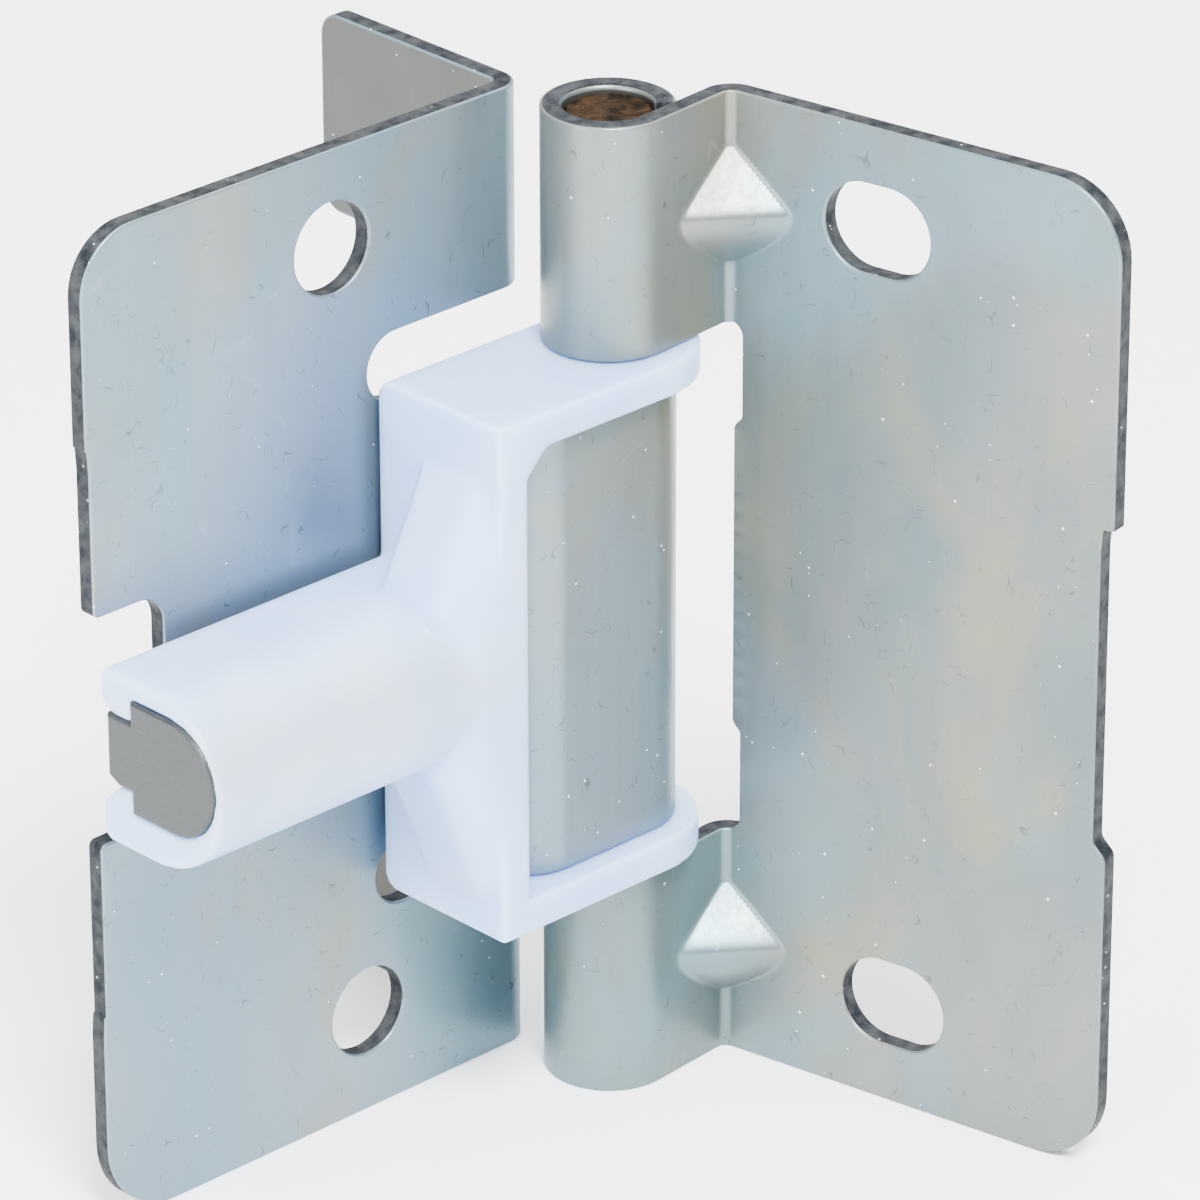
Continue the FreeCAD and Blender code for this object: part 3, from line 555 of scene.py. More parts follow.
    def faces(self, triangles: list[list[int]], inner: int) -> tuple[list[list[int]], list[int]]:
        """Faces of the mesh with their materials.

        Args:
            triangles: triangles between the flat points, rims first.
            inner: how many flat points lie inside the rims.

        Returns:
            Point numbers of each face, and its material's number.
        """
        rim = sum(len(loop) for loop in self.loops)
        last = rim * (2 * self.finish.ring_steps + 1)
        faces, marks = [], []
        for triangle in triangles:
            faces.append([v if v < rim else last + v for v in triangle])
            faces.append([last + v if v < rim else last + inner + v for v in triangle][::-1])
            marks += [0, 2]
        for ring in range(last // rim):
            base = ring * rim
            for loop in self.loops:
                for index in range(len(loop)):
                    a, b = base + index, base + (index + 1) % len(loop)
                    faces.append([a, a + rim, b + rim, b])
                    marks.append(1 if ring == self.finish.ring_steps else 0)
                base += len(loop)
        if self.flipped:
            faces = [face[::-1] for face in faces]
        return faces, marks

    def build(self, materials: list[bpy.types.Material]) -> bpy.types.Object:
        """Make and dress the mesh.

        Args:
            materials: those of the front, the cut and the back.

        Returns:
            The finished sheet as an object of the scene.
        """
        insets = [inward_normals(loop) for loop in self.loops]
        rims = [loop + normal * self.finish.inset for loop, normal in zip(self.loops, insets)]
        flat, triangles = self.fill(rims)
        inner = flat[sum(len(rim) for rim in rims):]
        points, normals = self.points(insets, inner)
        faces, marks = self.faces(triangles, len(inner))
        mesh = bpy.data.meshes.new(self.name)
        mesh.from_pydata(points.tolist(), [], faces)
        for polygon, mark in zip(mesh.polygons, marks):
            polygon.material_index = mark
        mesh.shade_smooth()
        mesh.normals_split_custom_set_from_vertices(normals.tolist())
        for material in materials:
            mesh.materials.append(material)
        return add_object(self.name, mesh)

    def fill(self, rims: list[np.ndarray]) -> tuple[np.ndarray, list[list[int]]]:
        """Fill the front of the sheet with triangles.

        Args:
            rims: the inset loops.

        Returns:
            The flat points, rims first, and the triangles between them.
        """
        boundary = np.concatenate(rims)
        grid = np.array(self.grid)
        grid = grid[inside_loops(grid, rims)]
        near = np.array([np.min(np.sum((boundary - point) ** 2, axis=1)) for point in grid])
        flat = np.concatenate([boundary, grid[near > STEPS.closest_to_rim ** 2]])
        edges, base = [], 0
        for rim in rims:
            count = len(rim)
            edges += [(base + index, base + (index + 1) % count) for index in range(count)]
            base += count
        vectors = [Vector((float(x), float(y))) for x, y in flat]
        filled = delaunay_2d_cdt(vectors, edges, [], 0, STEPS.same_in_fill, True)
        faces, origin = filled[2], filled[3]
        back = {index: sources[0] for index, sources in enumerate(origin) if sources}
        triangles = [[back[v] for v in face] for face in faces if all(v in back for v in face)]
        middles = np.array([flat[triangle].mean(axis=0) for triangle in triangles])
        kept = []
        for triangle, keep in zip(triangles, inside_loops(middles, rims)):
            if not keep:
                continue
            (ax, ay), (bx, by), (cx, cy) = flat[triangle]
            turn = (bx - ax) * (cy - ay) - (by - ay) * (cx - ax)
            kept.append(triangle if turn > 0 else triangle[::-1])
        LOG.info("%s: %d flat points, %d triangles", self.name, len(flat), len(kept))
        return flat, kept


@dataclass(frozen=True)
class CornerLeafSizes:
    """Sizes of the corner leaf, as in the solid."""

    height: float = 76.2
    sheet: float = 1.52
    inside: float = 0.75
    front: float = 6.95
    reach: float = 42.3
    relief: float = 0.25
    relief_low: float = 16.75
    relief_high: float = 60.5
    relief_round: float = 0.1
    top_round: float = 4.6
    bottom_round: float = 6.2
    notch_reach: float = 35.8
    notch_low: float = 30.4
    notch_high: float = 47.9
    notch_round: float = 2.2
    lip_round: float = 0.5
    hole: float = 3.45
    top_hole: Point = (-19.7, 68.9)
    low_hole: Point = (-17.5, 8.05)
    ear_face: float = 1.2
    ear_depth: float = 20.0
    ear_round: float = 1.8
    low_ear: float = 15.8
    top_ear: float = 60.9
    slit_share: float = 0.999
    strap_reach: float = 13.2
    strap_bend: float = 4.5
    strap_low: float = 21.0
    strap_high: float = 55.6
    bore: float = 3.3
    seam_gap: float = 0.15
    free_at_root: float = 0.3


class CornerLeaf(BentSheet):
    """Plate with two ears and a rolled middle strap."""

    def __init__(self, sizes: CornerLeafSizes, finish: SheetFinish) -> None:
        """Lay out the flat sheet.

        Args:
            sizes: the leaf's sizes.
            finish: its edges.
        """
        super().__init__("corner_leaf_sheet", Place(), False, finish)
        s = self.sizes = sizes
        outer = s.inside + s.sheet
        knuckle = s.bore + s.sheet
        self.root = -s.strap_reach - s.inside
        bend = (-s.ear_face - outer, s.front + outer)
        self.ear = Path((
            Straight((-s.reach, s.front), (bend[0], s.front), (0, 1), s.sheet),
            Bend(bend, outer, -90, 0, Side.INNER, s.sheet),
            Straight((-s.ear_face, bend[1]), (-s.ear_face, s.front + s.ear_depth), (-1, 0), s.sheet),
        ), -s.reach)
        turn = (s.strap_bend - s.strap_reach, s.strap_bend - knuckle)
        seam = 180 + math.degrees(math.asin((s.bore - s.seam_gap) / knuckle))
        self.strap = Path((
            Bend((self.root, s.front - s.inside), s.inside, 90, 0, Side.OUTER, s.sheet),
            Straight((-s.strap_reach, s.front - s.inside), (-s.strap_reach, turn[1]), (1, 0), s.sheet),
            Bend(turn, s.strap_bend, 180, 270, Side.INNER, s.sheet),
            Straight((turn[0], -knuckle), (0, -knuckle), (0, 1), s.sheet),
            Bend((0, 0), knuckle, -90, seam, Side.INNER, s.sheet),
        ), self.root)
        self.lay_out()

    def slit(self, low: float, high: float) -> list[Corner]:
        """Round end of the slit between the strap and an ear.

        Args:
            low: height of its lower side.
            high: height of its upper side.

        Returns:
            Its corners from below.
        """
        half = (high - low) / 2
        end, radius = self.root - half, half * self.sizes.slit_share
        return [
            Corner(self.root, low), Corner(end, low, radius),
            Corner(end, high, radius), Corner(self.root, high),
        ]

    def lay_out(self) -> None:
        """Draw the rim, the two holes and the inner mesh points."""
        s = self.sizes
        edge, strap_end, ear_end = -s.reach + s.relief, self.strap.end, self.ear.end
        rim = [
            Corner(-s.reach, 0, s.bottom_round),
            Corner(ear_end, 0, s.ear_round),
            Corner(ear_end, s.low_ear, s.ear_round),
            *self.slit(s.low_ear, s.strap_low),
            Corner(strap_end, s.strap_low, s.lip_round),
            Corner(strap_end, s.strap_high, s.lip_round),
            *self.slit(s.strap_high, s.top_ear),
            Corner(ear_end, s.top_ear, s.ear_round),
            Corner(ear_end, s.height, s.ear_round),
            Corner(-s.reach, s.height, s.top_round),
            Corner(-s.reach, s.relief_high, s.relief_round),
            Corner(edge, s.relief_high, s.relief_round),
            Corner(edge, s.notch_high, s.lip_round),
            Corner(-s.notch_reach, s.notch_high, s.notch_round),
            Corner(-s.notch_reach, s.notch_low, s.notch_round),
            Corner(edge, s.notch_low, s.lip_round),
            Corner(edge, s.relief_low, s.relief_round),
            Corner(-s.reach, s.relief_low, s.relief_round),
        ]
        stations = self.ear.stations()
        self.loops = [
            outline(rim, stations + self.strap.stations()),
            round_hole(*s.top_hole, s.hole),
            round_hole(*s.low_hole, s.hole),
        ]
        plate = [station for station in stations if station < self.root - s.free_at_root]
        ears = [station for station in stations if station > self.root + s.free_at_root]
        self.add_grid(plate + [self.root], 0, s.height)
        self.add_grid(ears, 0, s.low_ear)
        self.add_grid(ears, s.top_ear, s.height)
        self.add_grid(self.strap.stations(), s.strap_low, s.strap_high)

    def surface(self, along: np.ndarray, up: np.ndarray, depth: np.ndarray) -> np.ndarray:
        """Points of the bent sheet; the middle heights follow the strap.

        Args:
            along: developed distances.
            up: heights.
            depth: distances behind the front face.

        Returns:
            Rows of x, y, z in millimetres.
        """
        s = self.sizes
        middle = (up > (s.low_ear + s.strap_low) / 2) & (up < (s.strap_high + s.top_ear) / 2)
        strap = middle & (along > self.root)
        flat = self.ear.at(along, depth)
        flat[strap] = self.strap.at(along[strap], depth[strap])
        return np.column_stack([flat, up])


@dataclass(frozen=True)
class KnuckleLeafSizes:
    """Sizes of the knuckle leaf, as in the solid, with the softer form of its gussets."""

    height: float = 76.2
    sheet: float = 1.52
    inside: float = 0.75
    bore: float = 3.3
    seam_gap: float = 0.15
    bore_fade: float = 1.5
    turn_deg: float = -79.26
    front: float = 6.84
    reach: float = 37.93
    corner_round: float = 5.5
    end_round: float = 0.4
    bend_at: float = 6.24
    low_strip: float = 18.1
    top_strip: float = 58.5
    window: float = 6.7
    window_round: float = 1.0
    window_step: float = 0.8
    step_low: float = 27.0
    step_high: float = 50.4
    step_round: float = 0.6
    slot_radius: float = 3.4
    slot_length: float = 8.8
    top_slot: Point = (18.0, 68.5)
    low_slot: Point = (20.3, 7.95)
    recess: float = 1.05
    recess_low: float = 26.3
    recess_high: float = 50.7
    recess_round: float = 0.9
    ramp_round: float = 0.8
    shoulder_inner: float = 0.15
    shoulder_outer: float = 0.1
    gusset_leg: float = 5.2
    gusset_half: float = 4.2
    gusset_heights: Point = (9.4, 67.7)
    gusset_soft: float = 0.55
    gusset_belly: float = 1.45
    gusset_reach: float = 6.5
    gusset_fade: float = 1.0
    fold_soft: float = 0.12
    fold_sink: float = 0.004
    fold_least: float = 0.012


@dataclass(frozen=True)
class GussetMesh:
    """Finer mesh round a gusset: how far it goes past the gusset, and its lines and step."""

    before: float = 1.5
    after: float = 3.5
    beside: float = 0.8
    lines: int = 52
    step: float = 0.25


class KnuckleLeaf(BentSheet):
    """Slotted leaf whose two strips are rolled round the pin, with a gusset across each bend."""

    def __init__(self, sizes: KnuckleLeafSizes, finish: SheetFinish) -> None:
        """Lay out the flat sheet.

        Args:
            sizes: the leaf's sizes.
            finish: its edges.
        """
        super().__init__("knuckle_leaf_sheet", Place(turn_deg=sizes.turn_deg), True, finish)
        s = self.sizes = sizes
        knuckle = s.bore + s.sheet
        centre = (s.bend_at, s.front - s.inside)
        lean = math.atan2(centre[1], centre[0]) - math.acos((knuckle + s.inside) / math.hypot(*centre))
        normal = (math.cos(lean), math.sin(lean))
        lean_deg = math.degrees(lean)
        seam = lean_deg + math.degrees(math.acos((s.bore - s.seam_gap) / knuckle))
        strip_start = (centre[0] - s.inside * normal[0], centre[1] - s.inside * normal[1])
        strip_end = (knuckle * normal[0], knuckle * normal[1])
        self.course = Path((
            Straight((s.reach, s.front), (s.bend_at, s.front), (0, 1), s.sheet),
            Bend(centre, s.inside, 90, 180 + lean_deg, Side.OUTER, s.sheet),
            Straight(strip_start, strip_end, (-normal[0], -normal[1]), s.sheet),
            Bend((0, 0), knuckle, lean_deg + 360, seam, Side.INNER, s.sheet),
        ))
        spread = np.array([1.0 + math.sin(lean), -math.cos(lean)])
        self.corner = np.array([(knuckle - s.front * math.sin(lean)) / math.cos(lean), s.front])
        self.across = spread / np.linalg.norm(spread)
        self.crest = s.gusset_leg * float(np.linalg.norm(spread)) / 2
        self.lay_out(GussetMesh())

    def lay_out(self, mesh: GussetMesh) -> None:
        """Draw the rim, the two slots and the inner mesh points.

        Args:
            mesh: the finer mesh round the gussets.
        """
        s = self.sizes
        end, inner = self.course.end, s.reach - s.window
        step = inner + s.window_step
        rim = [
            Corner(end, 0, s.end_round),
            Corner(end, s.low_strip, s.end_round),
            Corner(inner, s.low_strip, s.window_round),
            Corner(inner, s.step_low - s.window_step, s.step_round),
            Corner(step, s.step_low, s.end_round),
            Corner(step, s.step_high, s.end_round),
            Corner(inner, s.step_high + s.window_step, s.step_round),
            Corner(inner, s.top_strip, s.window_round),
            Corner(end, s.top_strip, s.end_round),
            Corner(end, s.height, s.end_round),
            Corner(0, s.height, s.corner_round),
            Corner(0, s.recess_high, s.shoulder_outer),
            Corner(s.recess, s.recess_high, s.shoulder_inner),
            Corner(s.recess, s.recess_low, s.recess_round),
            Corner(0, s.recess_low - s.recess, s.ramp_round),
            Corner(0, 0, s.corner_round),
        ]
        stations = self.course.stations()
        stretch = s.slot_length - 2 * s.slot_radius
        self.loops = [outline(rim, stations)] + [
            round_hole(s.reach - across, up, s.slot_radius, stretch)
            for across, up in (s.top_slot, s.low_slot)
        ]
        self.add_grid(stations, 0, s.height)
        first, last = inner - s.gusset_leg - mesh.before, inner + s.gusset_leg + mesh.after
        fine = np.linspace(first, last, mesh.lines).tolist()
        reach = s.gusset_half + mesh.beside
        for height in s.gusset_heights:
            self.grid = [point for point in self.grid
                         if abs(point[1] - height) > reach or not first < point[0] < last]
            self.add_grid(fine, height - reach, height + reach, mesh.step, 0.0)

    def in_knuckle(self, loop: np.ndarray) -> np.ndarray:
        """Share of the wider back roll: 1 where the strips are rolled round the pin."""
        start = self.course.end - self.course.stretches[-1].length
        return np.clip((loop[:, 0] - start) / self.sizes.bore_fade, 0, 1)

    def surface(self, along: np.ndarray, up: np.ndarray, depth: np.ndarray) -> np.ndarray:
        """Points of the bent sheet, pushed out along the gussets.

        Args:
            along: developed distances.
            up: heights.
            depth: distances behind the front face.

        Returns:
            Rows of x, y, z in millimetres.
        """
        s = self.sizes
        leaf, bend = self.course.stretches[:2]
        flat = self.course.at(along, depth)
        front = self.course.at(along, np.zeros_like(depth))
        out = (front - self.corner) @ self.across
        near_bend = along < leaf.length + bend.length + s.gusset_reach
        for height in s.gusset_heights:
            away = np.sqrt((up - height) ** 2 + s.gusset_soft ** 2) - s.gusset_soft
            share = away / s.gusset_half
            level = self.crest * (1 - np.where(up < height, share ** s.gusset_belly, share))
            lift = level - out
            lift = 0.5 * (lift + np.sqrt(lift ** 2 + s.fold_soft ** 2))
            fade = np.clip((s.gusset_half + s.gusset_fade - np.abs(up - height)) / s.gusset_fade, 0, 1)
            raised = (lift - s.fold_sink) * near_bend * fade * (lift > s.fold_least)
            flat += raised[:, None] * self.across
        return np.column_stack([flat, up])


def colour(red: float, green: float, blue: float) -> Colour:
    """Opaque colour."""
    return (red, green, blue, 1.0)


class Nodes:
    """Short way to write a node tree."""

    def __init__(self, tree: bpy.types.NodeTree) -> None:
        """Work on a tree."""
        self.tree = tree

    def fill(self, node: bpy.types.Node, sockets: dict[str | int, Value]) -> bpy.types.Node:
        """Link or set inputs of a node.

        Args:
            node: the node.
            sockets: a socket or a constant for each input, by its name or number.

        Returns:
            The node.
        """
        for key, value in sockets.items():
            if isinstance(value, bpy.types.NodeSocket):
                self.tree.links.new(value, node.inputs[key])
            else:
                node.inputs[key].default_value = value
        return node

    def add(self, kind: str, sockets: dict[str | int, Value] | None = None,
            **settings: str | bpy.types.ID) -> bpy.types.Node:
        """Add a node.

        Args:
            kind: the node's type.
            sockets: a socket or a constant for each input, by its name or number.
            settings: its other properties.

        Returns:
            The node.
        """
        node = self.tree.nodes.new(kind)
        for name, value in settings.items():
            setattr(node, name, value)
        return self.fill(node, sockets or {})

    def math(self, operation: str, first: Value, second: Value = 0.0) -> bpy.types.NodeSocket:
        """Result of a math node."""
        return self.add("ShaderNodeMath", {0: first, 1: second}, operation=operation).outputs[0]

    def noise(self, vector: Value, scale: float, detail: float, rough: float = 0.5,
              distortion: float = 0.0) -> bpy.types.NodeSocket:
        """Value of a noise texture."""
        sockets = {"Vector": vector, "Scale": scale, "Detail": detail, "Roughness": rough}
        return self.add("ShaderNodeTexNoise", sockets | {"Distortion": distortion}).outputs["Fac"]

    def span(self, value: Value, low: float, high: float, to_low: float = 0.0,
             to_high: float = 1.0) -> bpy.types.NodeSocket:
        """Value mapped from one span to another, and held at its ends."""
        sockets = {0: value, 1: low, 2: high, 3: to_low, 4: to_high}
        return self.add("ShaderNodeMapRange", sockets).outputs[0]

    def mix(self, share: Value, first: Value, second: Value) -> bpy.types.NodeSocket:
        """Mixed colour."""
        return self.add("ShaderNodeMix", {0: share, 6: first, 7: second}, data_type="RGBA").outputs[2]

    def tint(self, tone: Value, mask: Value, share: float, over: Colour) -> bpy.types.NodeSocket:
        """Colour with a share of another one laid over it where a mask is bright."""
        return self.mix(self.math("MULTIPLY", mask, share), tone, over)

    def mapped(self, vector: Value, scale: Triple, turn_deg: Triple) -> bpy.types.NodeSocket:
        """Coordinates, turned and scaled."""
        turn = tuple(math.radians(angle) for angle in turn_deg)
        return self.add("ShaderNodeMapping", {
            "Vector": vector, "Rotation": turn, "Scale": scale}).outputs[0]

    def group(self, tree: bpy.types.NodeTree, vector: Value,
              **values: float) -> bpy.types.bpy_prop_collection:
        """Outputs of a shared group that is placed with its own values."""
        return self.add("ShaderNodeGroup", {"Vector": vector, **values}, node_tree=tree).outputs


@dataclass(frozen=True)
class Strokes:
    """Thin strokes where one noise crosses its middle value and a second one is high."""

    turns_deg: tuple[Triple, ...]
    stretch: Triple
    scale: float
    next_scale: float
    detail: float
    thin: float
    thick: float
    where: float
    next_where: float
    where_detail: float
    where_turned: bool
    from_level: float
    to_level: float

    def draw(self, kit: Nodes, vector: Value) -> bpy.types.NodeSocket:
        """Draw the strokes.

        Args:
            kit: helper of the tree.
            vector: the coordinates.

        Returns:
            The mask of the strokes.
        """
        mask = None
        for number, turn in enumerate(self.turns_deg):
            place = kit.mapped(vector, self.stretch, turn)
            value = kit.noise(place, self.scale + self.next_scale * number, self.detail)
            line = kit.math("ABSOLUTE", kit.math("SUBTRACT", value, 0.5))
            where = kit.noise(place if self.where_turned else vector,
                              self.where + self.next_where * number, self.where_detail)
            shown = kit.math("MULTIPLY", kit.span(line, self.thin, self.thick, 1.0, 0.0),
                             kit.span(where, self.from_level, self.to_level))
            mask = shown if mask is None else kit.math("MAXIMUM", mask, shown)
        return mask


HAIRS = Strokes(
    turns_deg=((20, 35, 10), (-40, 15, 60), (75, -25, -30)), stretch=(1, 1, 1),
    scale=330.0, next_scale=90.0, detail=1.0, thin=0.002, thick=0.009,
    where=560.0, next_where=130.0, where_detail=1.0, where_turned=True,
    from_level=0.63, to_level=0.69)
LINES = Strokes(
    turns_deg=((12, 25, 40), (-35, 70, -15)), stretch=(40.0, 3200.0, 40.0),
    scale=1.0, next_scale=0.4, detail=0.0, thin=0.0, thick=0.008,
    where=150.0, next_where=70.0, where_detail=2.0, where_turned=False,
    from_level=0.58, to_level=0.68)


@dataclass(frozen=True)
class Cloud:
    """One kind of cloud in the plating: a noise, held between two levels."""

    name: str
    turn_deg: Triple | None
    scale: float
    detail: float
    rough: float
    distortion: float
    from_level: float
    to_level: float


CLOUDS = (
    Cloud("Warm", None, 75.0, 4.0, 0.55, 0.6, 0.5, 0.72),
    Cloud("Cool", (40, 20, 70), 60.0, 3.0, 0.5, 0.8, 0.48, 0.7),
    Cloud("Lilac", (80, 10, 30), 95.0, 3.0, 0.5, 0.7, 0.56, 0.72),
    Cloud("Patch", (10, 50, 20), 240.0, 5.0, 0.6, 0.0, 0.35, 0.7),
    Cloud("Broad", (60, 30, 5), 42.0, 2.0, 0.5, 0.5, 0.36, 0.64),
)


class Effects:
    """Shared shader groups: scratches, specks, clouds and grain."""

    speck_reach = 0.3
    cloud_stretch = (1.0, 1.0, 0.5)
    grain_stretch = (2600.0, 2600.0, 160.0)
    fine_grain = 3800.0
    long_share = 0.6
    fine_share = 0.4

    def __init__(self) -> None:
        """Make the groups."""
        self.scratches = self.make_scratches()
        self.specks = self.make_specks()
        self.clouds = self.make_clouds()
        self.grain = self.make_grain()

    @staticmethod
    def new_group(name: str, values: dict[str, float], outputs: list[str]) -> tuple:
        """Start a group that reads coordinates.

        Args:
            name: the group's name.
            values: its other inputs, with their usual values.
            outputs: names of its outputs.

        Returns:
            The tree, its helper, the sockets that go in and its output node.
        """
        tree = bpy.data.node_groups.new(name, "ShaderNodeTree")
        new_socket = tree.interface.new_socket
        new_socket("Vector", in_out="INPUT", socket_type="NodeSocketVector")
        for label, value in values.items():
            new_socket(label, in_out="INPUT", socket_type="NodeSocketFloat").default_value = value
        for label in outputs:
            new_socket(label, in_out="OUTPUT", socket_type="NodeSocketFloat")
        kit = Nodes(tree)
        return tree, kit, kit.add("NodeGroupInput").outputs, kit.add("NodeGroupOutput")

    def make_scratches(self) -> bpy.types.NodeTree:
        """Make short dark hairs and long fine scratches.

        Returns:
            The group.
        """
        tree, kit, given, end = self.new_group("hair_scratches", {"Amount": 0.5}, ["Hairs", "Lines"])
        for name, strokes in (("Hairs", HAIRS), ("Lines", LINES)):
            mask = strokes.draw(kit, given["Vector"])
            kit.fill(end, {name: kit.math("MULTIPLY", mask, given["Amount"])})
        return tree

    def make_specks(self) -> bpy.types.NodeTree:
        """Make small scattered specks of uneven size.

        Returns:
            The group.
        """
        tree, kit, given, end = self.new_group("specks", {"Scale": 900.0, "Amount": 0.2}, ["Mask"])
        cells = kit.add("ShaderNodeTexVoronoi", {"Vector": given["Vector"], "Scale": given["Scale"]})
        split = kit.add("ShaderNodeSeparateColor", {0: cells.outputs["Color"]})
        chosen = kit.math("LESS_THAN", split.outputs[0], given["Amount"])
        reach = kit.math("MULTIPLY", split.outputs[1], self.speck_reach)
        inside = kit.math("LESS_THAN", cells.outputs["Distance"], reach)
        kit.fill(end, {"Mask": kit.math("MULTIPLY", chosen, inside)})
        return tree

    def make_clouds(self) -> bpy.types.NodeTree:
        """Make faint clouds of the plating in warm and cool tints.

        Returns:
            The group.
        """
        tree, kit, given, end = self.new_group("plating_clouds", {}, [c.name for c in CLOUDS])
        vector = kit.mapped(given["Vector"], self.cloud_stretch, (0, 0, 0))
        for cloud in CLOUDS:
            place = kit.mapped(vector, (1, 1, 1), cloud.turn_deg) if cloud.turn_deg else vector
            value = kit.noise(place, cloud.scale, cloud.detail, cloud.rough, cloud.distortion)
            kit.fill(end, {cloud.name: kit.span(value, cloud.from_level, cloud.to_level)})
        return tree

    def make_grain(self) -> bpy.types.NodeTree:
        """Make the fine upright grain of rolled or cut steel.

        Returns:
            The group.
        """
        tree, kit, given, end = self.new_group("metal_grain", {"Scale": 1.0}, ["Value"])
        sockets = {0: given["Vector"], "Scale": given["Scale"]}
        scaled = kit.add("ShaderNodeVectorMath", sockets, operation="SCALE").outputs[0]
        long = kit.noise(kit.mapped(scaled, self.grain_stretch, (0, 0, 0)), 1.0, 2.0)
        fine = kit.noise(scaled, self.fine_grain, 2.0, 0.6)
        parts = (kit.math("MULTIPLY", long, self.long_share), kit.math("MULTIPLY", fine, self.fine_share))
        kit.fill(end, {"Value": kit.math("ADD", *parts)})
        return tree


@dataclass(frozen=True)
class Gloss:
    """How a surface reflects, and how deep its relief is."""

    smooth: float
    rough: float
    metallic: float = 0.0
    specular: float = 0.5
    relief: float = 0.0
    relief_depth: float = 0.0


@dataclass(frozen=True)
class Finish:
    """Two tones and the gloss of a surface."""

    name: str
    base: Colour
    deep: Colour
    gloss: Gloss


@dataclass(frozen=True)
class PlatedFinish(Finish):
    """Plated steel, with the tints of its clouds and the tones of its marks."""

    warm: Colour = colour(0.205, 0.19, 0.12)
    cool: Colour = colour(0.11, 0.2, 0.235)
    lilac: Colour = colour(0.18, 0.16, 0.2)
    line: Colour = colour(0.5, 0.54, 0.55)
    hair: Colour = colour(0.05, 0.055, 0.06)
    speck: Colour = colour(0.8, 0.83, 0.84)
    uneven: float = 130.0
    grain_share: float = 0.03
    patch_rough: float = 0.1


PLATE_GLOSS = Gloss(0.29, 0.4, 0.72, 0.3, 0.4, 0.00026)
BLUE_PLATE = PlatedFinish(
    "zinc_plate_blue", colour(0.175, 0.215, 0.245), colour(0.115, 0.185, 0.235), PLATE_GLOSS)
GREY_PLATE = PlatedFinish(
    "zinc_plate_grey", colour(0.16, 0.172, 0.162), colour(0.08, 0.122, 0.13), PLATE_GLOSS)
# Darker, warmer copy of the plating for the sheet's back faces: painted shade of the inner faces in the
# ear corners and inside the rolled knuckles.
PLATE_BACK_PAINTED_SHADE = PlatedFinish(
    "zinc_plate_back_painted_shade", colour(0.072, 0.071, 0.064), colour(0.058, 0.06, 0.056), PLATE_GLOSS,
    colour(0.08, 0.071, 0.058), colour(0.062, 0.068, 0.068), colour(0.068, 0.062, 0.068))
# The cut edges are near black: painted shade standing for the dark reflection that a cut edge shows.
SHEARED_EDGE_PAINTED_DARK = Finish(
    "sheared_edge_painted_dark", colour(0.01, 0.012, 0.015), colour(0.036, 0.039, 0.042),
    Gloss(0.35, 0.6, 0.12, 0.02, 0.6, 0.00006))
TARNISHED_PIN = Finish(
    "tarnished_pin", colour(0.003, 0.0018, 0.0008), colour(0.024, 0.012, 0.0045),
    Gloss(0.32, 0.5, 0.1, 0.02, 0.5, 0.00008))
MILKY_PLASTIC = Finish(
    "milky_plastic", colour(0.31, 0.45, 0.8), colour(0.41, 0.53, 0.84),
    Gloss(0.3, 0.42, 0.0, 0.5, 0.25, 0.00006))
CUT_CORE = Finish(
    "cut_core", colour(0.042, 0.046, 0.047), colour(0.052, 0.057, 0.057),
    Gloss(0.3, 0.46, 0.7, 0.2, 0.15, 0.00006))
PALE_SPECK = Finish(
    "pale_speck", colour(0.72, 0.75, 0.76), colour(0.95, 0.95, 0.93), Gloss(0.5, 0.5))
PALE_FLOOR = Finish(
    "pale_floor", colour(0.93, 0.93, 0.935), colour(0.95, 0.95, 0.95), Gloss(0.9, 0.9, 0.0, 0.1))


class Paint(Nodes):
    """One material while it is made, on the piece's own coordinates."""

    def __init__(self, finish: Finish) -> None:
        """Start the material.

        Args:
            finish: its tones and gloss.
        """
        self.finish = finish
        self.material = bpy.data.materials.new(finish.name)
        self.material.use_nodes = True
        super().__init__(self.material.node_tree)
        self.vector = self.add("ShaderNodeTexCoord").outputs["Object"]

    def patches(self, scale: float, detail: float, rough: float = 0.5, distortion: float = 0.0,
                low: float = 0.35, high: float = 0.65) -> bpy.types.NodeSocket:
        """Noise on the piece, held between two levels."""
        return self.span(self.noise(self.vector, scale, detail, rough, distortion), low, high)

    def between(self, share: Value) -> bpy.types.NodeSocket:
        """Tone between the finish's two tones."""
        return self.mix(share, self.finish.base, self.finish.deep)

    def roughness(self, value: Value) -> bpy.types.NodeSocket:
        """Roughness that rises with a value."""
        return self.span(value, 0.3, 0.7, self.finish.gloss.smooth, self.finish.gloss.rough)

    def close(self, tone: Value, rough: Value, height: Value | None = None,
              others: dict[str, Value] | None = None) -> bpy.types.Material:
        """Connect the shader.

        Args:
            tone: the colour.
            rough: the roughness.
            height: the relief, or None for a smooth surface.
            others: other inputs of the shader.

        Returns:
            The finished material.
        """
        gloss = self.finish.gloss
        sockets = {"Base Color": tone, "Roughness": rough, "Metallic": gloss.metallic,
                   "Specular IOR Level": gloss.specular}
        if height is not None:
            bump = self.add("ShaderNodeBump", {
                "Strength": gloss.relief, "Distance": gloss.relief_depth, "Height": height})
            sockets["Normal"] = bump.outputs[0]
        self.fill(self.tree.nodes["Principled BSDF"], sockets | (others or {}))
        return self.material


